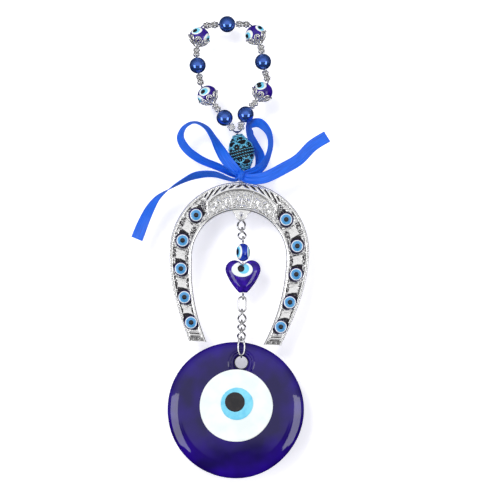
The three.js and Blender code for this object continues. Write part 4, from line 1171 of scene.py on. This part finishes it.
def foot_ends(face):
    """Two smooth bars and a serrated strip on each foot. Returns where the serration is."""
    to_end = face.end - face.side
    for at, wide in ((5.0, 0.45), (3.5, 0.75)):
        face.add(-0.35 * bump(to_end - at, wide) * face.channel, 0)
    groove = (bump(to_end - 4.35, 0.3) + bump(to_end - 2.55, 0.25)) * face.channel
    teeth = (smoothstep(0.95, 0.85, np.abs(to_end - 1.4)) * smoothstep(0.7, 1.0, face.outer)
             * smoothstep(0.7, 1.0, face.inner))
    saw = 0.5 + 0.5 * np.cos(face.off_middle * 2 * np.pi / 0.7)
    face.add(0.4 * groove + teeth * (0.15 + 0.5 * saw), 0.9 * groove + teeth * (0.2 + 0.8 * saw))
    return teeth


def crown(face, first):
    """A leafy border, a smooth ridge over the panel and the panel's scrollwork. Returns where
    the crown is."""
    x, z, rough = face.x, face.z, face.rough
    top = 1 - smoothstep(first - 8.2, first - 7.6, face.side)
    ridge_gap = np.hypot(x + 0.5, z + 25.3) - 22.0
    panel = (ridge_gap < 0) & (np.abs(x) < 17.6) & (face.inner > 1.0)
    ridge = np.sqrt(bump(ridge_gap, 0.85)) * (np.abs(x) < 17.9)

    leaf = np.cos(face.side * 2 * np.pi / 3.1 - (face.outer - 2.0) * 3.0)
    reach = 2.9 + 1.6 * np.clip(face.side / (first - 8.0), 0, 1)
    border = (smoothstep(1.2, 1.4, face.outer) * smoothstep(reach, reach - 0.25, face.outer)
              * top * (ridge_gap > 0.5))
    gap = smoothstep(0.15, -0.35, leaf)
    face.add(border * (0.45 * gap - 0.08), border * gap)
    between = (top * smoothstep(reach + 0.1, reach + 0.4, face.outer) * (ridge_gap > 0.7)
               * smoothstep(1.0, 1.6, face.inner))
    face.add(between * (0.28 + 0.10 * face.fine), between * np.clip(0.7 * rough, 0, 1))

    raised = np.maximum(scroll_panel(x, z) * 0.85, np.clip(rough - 0.25, 0, 1))
    face.mix(panel, 0.56 - 0.46 * raised, 0.50 - 1.0 * raised + 0.35 * rough)
    face.mix(ridge, -0.22, 0)
    # Painted shade: a dark line along the foot of the ridge, on the panel's side.
    face.tone = np.maximum(face.tone, 0.7 * bump(ridge_gap + 0.95, 0.22) * (np.abs(x) < 17.6))
    bars = (((-5.7, -7.0), (-4.4, -13.4)), ((5.4, -6.4), (3.9, -13.4)),
            ((-17.4, -11.0), (-15.8, -19.0)), ((16.8, -10.6), (15.6, -19.0)))
    bar_gap = np.minimum.reduce([line_gap(x, z, *ends) for ends in bars])
    face.mix(bump(bar_gap, 0.42) * (np.abs(x) < 18.4) * (face.inner > 0.9), -0.05, 0)
    return top


def rims(face, top, teeth):
    """Milgrain just inside the outer edge, and both edges rounded over."""
    beads = bump(face.outer - 0.85, 0.3) * (0.5 + 0.5 * np.cos(face.run * 2 * np.pi / 0.8))
    line = bump(face.outer - 0.85, 0.34)
    face.add(0.22 * line - 0.24 * beads, 0.95 * line * (1 - beads))
    inner_line = bump(face.inner - 1.15, 0.22) * top
    face.add(0.16 * inner_line, 0.5 * inner_line)
    face.add(-0.12 * bump(face.inner - 0.7, 0.7) * (1 - teeth), 0)
    over = np.clip(1 - np.minimum(face.outer, face.inner) / 0.75, 0, 1)
    face.add(0.7 * (1 - np.sqrt(np.clip(1 - over ** 2, 0, 1))) + 0.015 * face.rough, 0)


def shoe_relief(face, stones):
    """Every part of the casting's relief, on a Face. stones says where the cabochons are."""
    arm_channel(face, stones)
    stone_seats(face, stones)
    hatched_pocket(face, stones[0])
    teeth = foot_ends(face)
    top = crown(face, stones[0])
    rims(face, top, teeth)
    face.tone = np.clip(face.tone, 0, 1)


def stone_places(outer, inner, run):
    """How far along the casting the cabochons of the right arm are, from the crown down."""
    middle = (outer + inner) / 2
    stones = []
    for k in range(1, 6):
        x, z = unleaned(box(f"cabochon_right_{k}")[2])
        nearest = np.argmin(np.hypot(middle[:, 0] - x, middle[:, 1] - z))
        stones.append(abs(run[nearest]))
    return stones


def flat_casting(outlines, front, back, bevel):
    """A flat plate with holes, from closed outlines in x and z, its edges bevelled."""
    curve = bpy.data.curves.new("plate", "CURVE")
    curve.dimensions = "2D"
    curve.fill_mode = "BOTH"
    curve.extrude = (back - front) / 2 - bevel
    curve.bevel_depth = bevel
    curve.bevel_resolution = 3
    for outline in outlines:
        spline = curve.splines.new("POLY")
        spline.points.add(len(outline) - 1)
        for point, (x, z) in zip(spline.points, outline):
            point.co = (x, z, 0, 1)
        spline.use_cyclic_u = True
    holder = bpy.data.objects.new("plate", curve)
    bpy.context.scene.collection.objects.link(holder)
    bpy.context.view_layer.update()
    graph = bpy.context.evaluated_depsgraph_get()
    data = bpy.data.meshes.new_from_object(holder.evaluated_get(graph))
    flat = np.array([v.co for v in data.vertices], float)
    faces = [tuple(p.vertices) for p in data.polygons]
    bpy.data.objects.remove(holder)
    bpy.data.curves.remove(curve)
    bpy.data.meshes.remove(data)
    points = np.stack([flat[:, 0], (front + back) / 2 - flat[:, 2], flat[:, 1]], 1)
    return points, faces


def ring_outline(z, radius, count=40, arc=None):
    """Points of a circle about the horseshoe's middle line, or of an arc between two angles."""
    turn = np.linspace(*(arc or (0, 2 * np.pi)), count, endpoint=arc is not None)
    return [(radius * math.cos(t), z + radius * math.sin(t)) for t in turn]


def horseshoe():
    """The casting with its relief, the lug under its crown and the eye above."""
    outer, inner, run = shoe_rows()
    stones = stone_places(outer, inner, run)
    columns = 68
    share = np.concatenate([[0, 0.012, 0.025], np.linspace(0.04, 0.96, columns - 6),
                            [0.975, 0.988, 1]])
    width = np.linalg.norm(outer - inner, axis=1)
    face = outer[:, None] + (inner - outer)[:, None] * share[None, :, None]
    from_outer = (width[:, None] * share[None]).ravel()
    from_inner = (width[:, None] * (1 - share)[None]).ravel()
    flat = face.reshape(-1, 2)
    runs = np.repeat(run, columns)
    front_face = Face(flat[:, 0], flat[:, 1], from_outer, from_inner, runs)
    shoe_relief(front_face, stones)
    front = np.stack([flat[:, 0], FRONT + front_face.depth, flat[:, 1]], 1)
    front = front.reshape(len(run), columns, 3)
    tone = front_face.tone.reshape(len(run), columns)

    # Round each row off with its two side walls and the flat back.
    def rail(at, y, inset):
        base = outer + (inner - outer) * at
        x, z = (base + (inner - outer) / width[:, None] * inset).T
        return np.stack([x, np.full(len(run), y), z], 1)

    back = [rail(1, BACK - 0.5, 0), rail(1, BACK - 0.15, -0.12), rail(1, BACK, -0.5),
            rail(0.66, BACK, 0), rail(0.33, BACK, 0), rail(0, BACK, 0.5),
            rail(0, BACK - 0.15, 0.12), rail(0, BACK - 0.5, 0)]
    loop = np.concatenate([front, np.stack(back, 1)], 1)
    tones = np.concatenate([tone, np.full((len(run), len(back)), 0.04)], 1)
    shape = Shape().put((leaned(loop.reshape(-1, 3)), capped(*loop.shape[:2])), tone=tones.ravel())

    # The lug under the crown and the eye above it.
    top = -SHOE_TOP_BAND + 0.9
    lug = [(6.6, top), (5.3, top - 0.9), (4.3, top - 1.6), (3.5, top - 2.4), (2.95, top - 3.1)]
    under = ring_outline(LUG_HOLE_DEPTH, 2.8, 24, (0.05, -np.pi - 0.05))
    outline = [*lug, *under, *[(-wide, z) for wide, z in reversed(lug)]]
    plate = flat_casting([outline, ring_outline(LUG_HOLE_DEPTH, 1.3)], -0.8, 0.8, 0.28)
    shape.put((leaned(plate[0]), plate[1]), tone=0.03)
    eye = [(1.9, -0.9), *ring_outline(EYE_RAISE, 2.2, 30, (-0.75, np.pi + 0.75)), (-1.9, -0.9)]
    plate = flat_casting([eye, ring_outline(EYE_RAISE, 1.2)], -0.8, 0.8, 0.25)
    shape.put((leaned(plate[0]), plate[1]), tone=0.08)
    shape.make("horseshoe_casting", [CAST], "horseshoe", "silver", "horseshoe", sharp=50)


def cabochon(word, index):
    """A domed glass eye on a flat base: blue rim, white ring, light blue ring and dark pupil."""
    node = f"cabochon_{word}_{index}"
    centre = box(node)[2]
    segments = 48
    turn = np.linspace(0, 2 * np.pi, segments, endpoint=False)
    girdle = CABOCHON_HEIGHT * 0.42
    dome = ((1.0, BODY_MARK), (0.985, BODY_MARK), (0.95, BODY_MARK), (0.90, BODY_MARK),
            (0.875, WHITE_MARK), (0.82, WHITE_MARK), (0.77, SKY_MARK), (0.70, SKY_MARK),
            (0.62, SKY_MARK), (0.52, MID_MARK), (0.47, SKY_MARK), (0.42, SKY_MARK),
            (0.37, BLACK_MARK), (0.24, BLACK_MARK), (0.12, BLACK_MARK))
    rows = [(0.97, 0.0, BODY_MARK), (1.0, 0.15, BODY_MARK), (1.0, girdle * 0.6, BODY_MARK)]
    rows += [(share, girdle + (CABOCHON_HEIGHT - girdle) * math.sqrt(1 - share ** 2), mark)
             for share, mark in dome]
    points, marks = [], []
    for share, high, mark in rows:
        slide = 0.10 * (1 - share)
        points.append(np.stack([centre[0] + slide + CABOCHON_RADIUS * share * np.cos(turn),
                                np.full(segments, SEAT_FLOOR - high),
                                centre[2] + slide + CABOCHON_RADIUS * share * np.sin(turn)], 1))
        marks += [mark] * segments
    marks = [*marks[:-segments], BODY_MARK, BLACK_MARK]
    shape = Shape().put((np.concatenate(points), capped(len(rows), segments)), marks)
    return shape.make(node + "_glass", STONE_GLASS, "horseshoe", "blue_glass", node)


horseshoe()
for word in ("left", "right"):
    for index in range(1, 6):
        cabochon(word, index)

# ---------------------------------------------------------------- wire links, pin and bail

WIRE = 0.45
LINK_HALF = 1.9                       # half the width of a link, to the middle of its wire
BAIL_HALF = 1.6
PIN_LOOP = 1.25
PIN_X = pivot("heart_bead_spin")[0]
SEAM = 0.10                           # the gap where a link's wire is closed, as a turn


def twisted_link(name, twist):
    """An oval wire link, turned edge-on towards its top where it is twisted."""
    low, high, centre = box(name)
    reach = (high[2] - low[2]) / 2 - 2 * WIRE
    stretch = (high[2] - low[2]) / 2 - WIRE - LINK_HALF
    start = 0.35
    turn = np.linspace(start + SEAM, start + 2 * np.pi - SEAM, 90)
    x = LINK_HALF * np.cos(turn)
    up = LINK_HALF * np.sin(turn) + np.tanh(np.sin(turn) * 6) * stretch
    angle = twist * smoothstep(-reach * 0.6, reach * 0.6, up)
    middle = pivot_x(name)
    points = np.stack([middle + x * np.cos(angle), x * np.sin(angle), centre[2] + up], 1)
    shape = Shape().put(tube(resampled(points, 0.16), WIRE, 14))
    return shape.make(name + "_wire", [SILVER], name, "silver", name)


def pivot_x(name):
    """The middle of a link, from the lowest part of its CAD wire."""
    points = node_points(name)
    lowest = points[points[:, 2] < points[:, 2].min() + 1.5]
    return (lowest[:, 0].min() + lowest[:, 0].max()) / 2


def eye_pin():
    """One wire: an open loop, the straight shank through both beads, and another loop."""
    low, high, _ = box("eye_pin")
    top, bottom = high[2] - WIRE - PIN_LOOP, low[2] + WIRE + PIN_LOOP
    shape = Shape()
    for centre, sign in ((top, 1), (bottom, -1)):
        turn = np.linspace(-np.pi / 2 + 0.12, 1.5 * np.pi - 0.32, 60)
        loop = np.stack([np.full(60, PIN_X), PIN_LOOP * np.cos(turn) * sign,
                         centre + sign * PIN_LOOP * np.sin(turn)], 1)
        shape.put(tube(loop, WIRE, 14))
    shank = np.stack([np.full(40, PIN_X), np.zeros(40),
                      np.linspace(top - PIN_LOOP + 0.1, bottom + PIN_LOOP - 0.1, 40)], 1)
    shape.put(tube(shank, WIRE, 14))
    return shape.make("eye_pin_wire", [SILVER], "eye_pin", "silver", "eye_pin")


def disc_bail():
    """The oval ring before the glass, and its wire on through the hole and over the edge."""
    low, high, _ = box("disc_bail")
    x = pivot("disc_swing")[0]
    front, back = low[1] + WIRE, high[1] - WIRE
    top, bottom = high[2] - WIRE, low[2] + WIRE
    oval_top, oval_bottom = top - 0.5, bottom + 0.9
    turn = np.linspace(0, 2 * np.pi, 80, endpoint=False)
    up = np.sin(turn) * (oval_top - oval_bottom) / 2
    oval = np.stack([x + BAIL_HALF * np.cos(turn), np.full(80, front),
                     (oval_top + oval_bottom) / 2 + up], 1)
    shape = Shape().put(tube(oval, WIRE, 14, True))
    route = [(front, oval_top), (front + 1.1, top), (0, top), (back - 1.0, top),
             (back, top - 1.3), (back, (top + bottom) / 2), (back, bottom + 1.0),
             (back - 1.0, bottom), (0, bottom), (front + 1.0, bottom), (front, oval_bottom)]
    hook = cubic([(x, y, z) for y, z in route], 10)
    shape.put(tube(hook, WIRE, 14))
    return shape.make("disc_bail_wire", [SILVER], "disc_bail", "silver", "disc_bail")


for name in ("upper_link_1", "upper_link_2", "lower_link_2", "lower_link_3", "lower_link_4"):
    twisted_link(name, np.pi / 2)
twisted_link("lower_link_1", 0.0)
eye_pin()
disc_bail()

# ---------------------------------------------------------------- flat bead and heart

PIN_BORE = 0.75
LOBE_RADIUS = 4.6


def pin_bore(low, high):
    """The bore for the pin, as a shape to cut with."""
    end, segments = 0.05, 24
    profile = [[end, low], [PIN_BORE, low], [PIN_BORE, high], [end, high]]
    points, _ = spun(profile, segments, (PIN_X, 0, 0))
    return Shape().put((points, capped(len(profile), segments)))


def flat_bead():
    """A lens of blue glass with an eye on either face, strung with its rim to the front."""
    low, high, centre = box("flat_eye_bead")
    segments = 72
    radius, half = (high[2] - low[2]) / 2, (high[0] - low[0]) / 2
    poles = (unit((-1, -0.66, 0.08)), unit((1, -0.10, 0.05)))
    up = np.array([0, 0, 1.0])
    turn = np.linspace(0, 2 * np.pi, segments, endpoint=False)
    bands = [(0, BLACK_MARK), (15, BLACK_MARK), (17, MID_MARK), (22, SKY_MARK), (33, SKY_MARK),
             (35, WHITE_MARK), (47, WHITE_MARK), (49, BODY_MARK), (126, BODY_MARK),
             (136, WHITE_MARK), (146, SKY_MARK), (156, BLACK_MARK), (180, BLACK_MARK)]
    rows = []
    for (a, mark), (b, _) in zip(bands[:-1], bands[1:]):
        steps = max(1, int((b - a) / 2.5))
        rows += [(a + (b - a) * k / steps, mark) for k in range(steps)]
    rows.append(bands[-1])
    points, marks = [], []
    for degrees, mark in rows:
        polar = math.radians(min(max(degrees, 0.4), 179.6))
        ways = []
        for pole, share in zip(poles, (1, -1)):
            side = unit(np.cross(up, pole)) * share
            other = np.cross(pole, side) * share
            ways.append(share * math.cos(polar) * pole
                        + math.sin(polar) * around(turn, side, other))
        blend = smoothstep(55, 125, degrees)
        way = ways[0] * (1 - blend) + ways[1] * blend
        way /= np.linalg.norm(way, axis=1)[:, None]
        flat = np.hypot(way[:, 1], way[:, 2])
        swell = np.maximum(flat, 1e-6) ** -0.16
        points.append(centre + np.stack([way[:, 0] * half, way[:, 1] * radius * swell,
                                         way[:, 2] * radius * swell], 1))
        marks += [mark] * segments
    marks = [*marks[:-segments], BLACK_MARK, BLACK_MARK]
    shape = Shape().put((np.concatenate(points), capped(len(rows), segments)), marks)
    cut = pin_bore(low[2] - 2, high[2] + 2)
    return shape.make("flat_eye_bead_glass", [*EYE_GLASS, ROYAL], "flat_eye_bead", "blue_glass",
                      "flat_eye_bead", cut=cut)


def heart_outline():
    """The heart's outline as points about the pin, from two lobes down to a flat tip."""
    r, c = LOBE_RADIUS, 4.2
    tip, half = r - 16.2, 2.0
    notch = math.acos(c / r)
    low = math.radians(-28)
    lobe = [(c + r * math.cos(t), r * math.sin(t)) for t in np.linspace(np.pi - notch, low, 50)]
    start, bend, end = np.array(lobe[-1]), np.array([c + r * 0.5, tip * 0.6]), np.array([half, tip])
    t = np.linspace(0, 1, 34)[1:, None]
    flank = (1 - t) ** 2 * start + 2 * (1 - t) * t * bend + t ** 2 * end
    right = np.concatenate([lobe, flank])
    left = (right * (-1, 1))[::-1]
    base = np.stack([np.linspace(half, -half, 9)[1:-1], np.full(7, tip)], 1)
    return np.concatenate([right, base, left[:-1]])


def heart():
    """A cushion of glass in a heart's outline, bored for the pin, with one raised eye."""
    low, high, _ = box("heart_bead")
    lobe_z = high[2] - LOBE_RADIUS
    heart_middle = np.array([0, -3.2])
    depth = (high[1] - low[1]) / 2
    from_middle = heart_outline() - heart_middle
    angle = np.arctan2(from_middle[:, 1], from_middle[:, 0])
    size = np.hypot(from_middle[:, 0], from_middle[:, 1])
    order = np.argsort(angle)
    segments = 240
    turn = np.linspace(-np.pi, np.pi, segments, endpoint=False)
    reach = np.interp(turn, angle[order], size[order], period=2 * np.pi)
    ease = np.array([1, 3, 4, 3, 1]) / 12
    reach = np.convolve(np.concatenate([reach[-2:], reach, reach[:2]]), ease, "valid")

    def swell(share):
        return depth * np.clip(1 - np.clip(share, 0, 1) ** 2.6, 0, 1) ** 0.52

    shares = np.sin(np.linspace(np.pi / 2, 0.03, 46))
    rows = []
    front = [(share, -swell(share)) for share in shares[::-1]]
    back = [(share, swell(share)) for share in shares[1:]]
    for share, y in [*front, *back]:
        x = heart_middle[0] + reach * share * np.cos(turn)
        z = heart_middle[1] + reach * share * np.sin(turn)
        rows.append(np.stack([PIN_X + x, np.full(segments, y), lobe_z + z], 1))
    solid = (np.concatenate(rows), capped(len(rows), segments))
    shape = Shape().put(solid, BODY_MARK)

    def surface(u, v, lift):
        x, z = u - heart_middle[0], v - heart_middle[1]
        away = np.hypot(x, z)
        edge = np.interp(np.arctan2(z, x), turn, reach, period=2 * np.pi)
        keep = np.minimum(1.0, 0.90 * edge / np.maximum(away, 1e-6))
        x, z = heart_middle[0] + x * keep, heart_middle[1] + z * keep
        y = -swell(away * keep / edge) - lift - 0.05
        return np.stack([PIN_X + x, y, lobe_z + z], 1)

    cut = pin_bore(low[2] - 3, high[2] + 3)
    piece = shape.make("heart_bead_glass", [*EYE_GLASS, VIOLET], "heart_bead", "blue_glass",
                       "heart_bead", cut=cut)
    eye = Shape()
    rings = [(-0.45, 0.0, 5.3, 3.75, WHITE_MARK), (0.35, 0.35, 2.75, 2.5, SKY_MARK),
             (-1.0, 0.5, 1.72, 1.72, BLACK_MARK)]
    points, faces, marks = nested_eye(surface, rings, 72, [8, 5, 4])
    eye.put((points, faces), marks)
    eye.make("heart_bead_eye", EYE_GLASS, "heart_bead", "white_glass")
    return piece


flat_bead()
heart()

# ---------------------------------------------------------------- the large glass disc

DISC_LOW, DISC_HIGH, DISC_CENTRE = box("disc_glass")
DISC_RADIUS = (DISC_HIGH[0] - DISC_LOW[0]) / 2
DISC_FRONT = 4.2
DISC_BACK = DISC_HIGH[1]
MOUTH_RADIUS = 3.8
BACK_HOLE_RADIUS = 3.1
HOLE = np.array([pivot("disc_swing")[0], DISC_HIGH[2] - 6.5 - MOUTH_RADIUS])
WHITE_LOW, WHITE_HIGH, WHITE_CENTRE = box("disc_white")


def disc_front(radius):
    """Depth of the glass's front: a low dome, a shallow step and a broad bevel round the rim."""
    share = np.asarray(radius, float) / DISC_RADIUS
    dome = DISC_FRONT * (1 - 0.205 * (share / 0.82) ** 2)
    at = [0.80, 0.82, 0.84, 0.87, 0.92, 0.96, 0.985, 0.996, 1.0, 1.05]
    high = [3.39, 3.26, 3.20, 2.90, 2.33, 1.70, 1.05, 0.50, -0.30, -0.30]
    smooth = np.mean([np.interp(share + d, at, high) for d in np.linspace(-0.006, 0.006, 7)], 0)
    return np.where(share < 0.803, dome, np.minimum(dome, smooth))


def disc():
    """Glass between the hanging hole and the outer edge. The hole narrows towards the back."""
    segments, rings = 288, 170
    turn = np.linspace(0, 2 * np.pi, segments, endpoint=False)
    ring = np.stack([np.cos(turn), np.sin(turn)], 1)
    wobble = 1.003 + 0.0035 * np.sin(turn * 3 + 0.6) + 0.0022 * np.sin(turn * 5 + 2)
    centre = DISC_CENTRE[[0, 2]]
    edge = centre + ring * DISC_RADIUS * wobble[:, None]
    hole = HOLE + ring * MOUTH_RADIUS
    share = np.linspace(0, 1, rings) ** 1.25
    share = np.concatenate([share[:-1], 1 - np.array([0.006, 0.003, 0.001, 0.0])])
    flat = hole[None] + (edge - hole)[None] * share[:, None, None]
    away = np.linalg.norm(flat - centre, axis=2) / wobble[None]
    from_hole = np.linalg.norm(flat - HOLE, axis=2) - MOUTH_RADIUS
    from_white = np.hypot(flat[..., 0] - WHITE_CENTRE[0], flat[..., 1] - WHITE_CENTRE[2]) \
        - (WHITE_HIGH[0] - WHITE_LOW[0]) / 2
    front = disc_front(np.clip(away, 0, DISC_RADIUS))
    clear = smoothstep(0.2, 2.2, from_white)
    lip = (0.30 * bump(from_hole - 2.2, 0.8) - 0.28 * bump(from_hole - 1.2, 0.6)) * clear
    funnel = 0.9 * np.clip(1 - from_hole / 1.2, 0, 1) ** 1.6
    uneven = grains(np.stack([flat[..., 0].ravel(), flat[..., 1].ravel(),
                              np.zeros(flat[..., 0].size)], 1), 16.0).reshape(front.shape)
    y_front = -(front + lip - funnel + 0.05 * uneven)
    back_depth = DISC_BACK * np.clip(1 - np.clip((away / DISC_RADIUS - 0.86) / 0.14, 0, 1) ** 2.4,
                                     0, 1) ** 0.5
    back_depth = np.maximum(back_depth, y_front + 0.02)
    narrow = 1 - smoothstep(0, 0.06, share)[:, None, None]
    under_flat = flat - narrow * (flat - HOLE) * (1 - BACK_HOLE_RADIUS / MOUTH_RADIUS)
    top = np.concatenate([flat, y_front[..., None]], 2)
    under = np.concatenate([under_flat, back_depth[..., None]], 2)
    bore = []
    for step in (0.1, 0.35, 0.65, 0.9):
        size = MOUTH_RADIUS + (BACK_HOLE_RADIUS - MOUTH_RADIUS) * step ** 0.7
        level = y_front[0] + (back_depth[0] - y_front[0]) * step
        bore.append(np.concatenate([HOLE + ring * size, level[:, None]], 1))
    loop = np.concatenate([np.stack(bore)[::-1], top, under[::-1][1:]], 0)
    points = loop[..., [0, 2, 1]].reshape(-1, 3)
    shape = Shape().put((points, grid(len(loop), segments, True, True)))
    return shape.make("disc_glass_body", [DISC_GLASS], "disc", "blue_glass", "disc_glass")


def disc_material():
    """Deep cobalt glass, painted lighter and bluer towards the rim, where the glass thins."""
    material = principled("disc_cobalt", (0.02, 0.002, 0.2), 0.04, 0.0, IOR=1.52)
    n = Nodes(material)
    centre = Vector((DISC_CENTRE[0] * MM, 0, DISC_CENTRE[2] * MM))
    gap = n.add("VectorMath", {0: n.place, 1: centre}, operation="SUBTRACT").outputs[0]
    radius = n.add("VectorMath", {0: gap}, operation="LENGTH").outputs["Value"]
    swirl = n.noise(14.0, 2.0)
    body = n.ramp(swirl, [(0.35, (0.005, 0.0006, 0.070)), (0.7, (0.015, 0.0008, 0.18))])
    rim = n.ramp(swirl, [(0.35, (0.007, 0.0008, 0.09)), (0.7, (0.018, 0.001, 0.26))])
    # The lighter, bluer rim is painted light, standing for light showing through the thinner glass.
    share = n.span(radius, DISC_RADIUS * 0.80 * MM, DISC_RADIUS * 0.95 * MM, 0, 1)
    n.colour(n.mix(share, body, rim))
    n.roughness(n.span(n.noise(5.0), 0.3, 0.7, 0.03, 0.06))
    n.bump(n.noise(9.0, 1.0), 0.04)
    return material


DISC_GLASS = disc_material()


def inlay(node, lift, wobble_seed, slot, material):
    """A round of coloured glass that lies on the one behind it, with a soft edge."""
    low, high, centre = box(node)
    half_x, _, half_z = (high - low) / 2
    segments = 160
    turn = np.linspace(0, 2 * np.pi, segments, endpoint=False)
    wave = (1 + 0.006 * np.sin(2 * turn + wobble_seed) + 0.005 * np.sin(3 * turn + 2 * wobble_seed)
            + 0.003 * np.sin(5 * turn + wobble_seed))
    rows = [(0.97, 1.1), (1.0, 0.35), (0.998, -0.02), (0.99, -0.07)]
    rows += [(share, -0.08) for share in np.linspace(0.96, 0.02, 30)]
    points = []
    for share, sink in rows:
        x = centre[0] + half_x * share * wave * np.cos(turn)
        z = centre[2] + half_z * share * wave * np.sin(turn)
        away = np.hypot(x - DISC_CENTRE[0], z - DISC_CENTRE[2])
        points.append(np.stack([x, sink - disc_front(away) - lift, z], 1))
    shape = Shape().put((np.concatenate(points), capped(len(rows), segments)))
    return shape.make(node + "_glass", [material], "disc", slot, node)


disc()
inlay("disc_white", 0.10, 1.3, "white_glass", WHITE)
inlay("disc_iris", 0.32, 0.4, "sky_glass", SKY)
inlay("disc_pupil", 0.54, 2.2, "black_glass", BLACK)

# ---------------------------------------------------------------- room, light and camera

VIEW_CENTRE = Vector((8.75, 0, -108.5)) * MM
CAMERA_DISTANCE = 1.5
VIEW_HEIGHT = 0.25


def wall():
    """A plain pale wall just behind the ornament, see-through from its far side."""
    size, back = 2.2, 0.016
    data = bpy.data.meshes.new("wall")
    corners = [(-size, back, -size), (size, back, -size), (size, back, size), (-size, back, size)]
    data.from_pydata(corners, [], [(0, 1, 2, 3)])
    material = principled("pale_wall", (0.90, 0.90, 0.95), 0.8)
    tree = material.node_tree
    shader = tree.nodes["Principled BSDF"]
    shader.inputs["Specular IOR Level"].default_value = 0.0
    shader.inputs["Emission Color"].default_value = (0.95, 0.95, 1.0, 1)
    shader.inputs["Emission Strength"].default_value = 0.45
    clear = add_node(tree, "BsdfTransparent")
    facing = add_node(tree, "NewGeometry")
    mixed = add_node(tree, "MixShader", {0: facing.outputs["Backfacing"], 1: shader.outputs[0],
                                         2: clear.outputs[0]})
    tree.links.new(mixed.outputs[0], tree.nodes["Material Output"].inputs["Surface"])
    data.materials.append(material)
    piece = bpy.data.objects.new("wall", data)
    bpy.context.scene.collection.objects.link(piece)
    piece.visible_glossy = False


def softbox(name, place, size, power, colour=(1, 1, 1), reflected=True):
    """A rectangular lamp that faces the ornament."""
    data = bpy.data.lights.new(name, "AREA")
    data.shape = "RECTANGLE"
    data.size, data.size_y = size
    data.energy = power
    data.color = colour
    lamp = bpy.data.objects.new(name, data)
    lamp.location = place
    lamp.rotation_mode = "QUATERNION"
    lamp.rotation_quaternion = (Vector(place) - VIEW_CENTRE).to_track_quat("Z", "Y")
    lamp.visible_glossy = reflected
    bpy.context.scene.collection.objects.link(lamp)


def surroundings():
    """A pale studio: bright above and before the object, darker low down and to the sides."""
    world = bpy.data.worlds.new("studio")
    bpy.context.scene.world = world
    world.use_nodes = True
    tree = world.node_tree
    tree.nodes.clear()

    parts = add_node(tree, "SeparateXYZ", {0: add_node(tree, "TexCoord").outputs["Generated"]})
    up = add_node(tree, "MapRange", {"Value": parts.outputs["Z"], "From Min": -0.17,
                                     "From Max": -0.11, "To Min": 0.16, "To Max": 1.0}).outputs[0]
    depth = add_node(tree, "MapRange", {"Value": parts.outputs["Y"], "From Min": -1.0,
                                        "From Max": 1.0}).outputs[0]
    fall = add_node(tree, "ValToRGB", {"Fac": depth})
    shades = fall.color_ramp.elements
    for at in (0.25, 0.45):
        shades.new(at)
    for shade, (at, level) in zip(shades, ((0.08, 0.86), (0.25, 0.36), (0.45, 0.26), (0.56, 0.08))):
        shade.position = at
        shade.color = (level, level, level, 1)
    strength = add_node(tree, "Math", {0: up, 1: fall.outputs["Color"]}, operation="MULTIPLY")
    seen = add_node(tree, "LightPath").outputs["Is Camera Ray"]
    total = add_node(tree, "Mix", {0: seen, 2: strength.outputs[0], 3: 1.0}, data_type="FLOAT")
    light = add_node(tree, "Background", {"Color": (1, 1, 1, 1), "Strength": total.outputs[0]})
    output = add_node(tree, "OutputWorld")
    tree.links.new(light.outputs[0], output.inputs["Surface"])


def camera():
    """A long lens straight in front of the ornament."""
    data = bpy.data.cameras.new("camera")
    data.sensor_width = 36
    data.lens = 36 * CAMERA_DISTANCE / VIEW_HEIGHT
    data.clip_start, data.clip_end = 0.05, 20
    eye = bpy.data.objects.new("camera", data)
    eye.location = VIEW_CENTRE + Vector((0, -CAMERA_DISTANCE, 0))
    eye.rotation_euler = (math.pi / 2, 0, 0)
    bpy.context.scene.collection.objects.link(eye)
    bpy.context.scene.camera = eye


wall()
surroundings()
softbox("softbox_left", (-0.87, -0.85, -0.42), (0.55, 0.80), 5)
softbox("softbox_right", (0.89, -0.85, -0.42), (0.55, 0.80), 5)
softbox("key", (-0.55, -1.6, 0.55), (0.5, 0.5), 12, (1, 0.98, 0.95), reflected=False)
camera()
bpy.context.scene.view_settings.view_transform = "Standard"
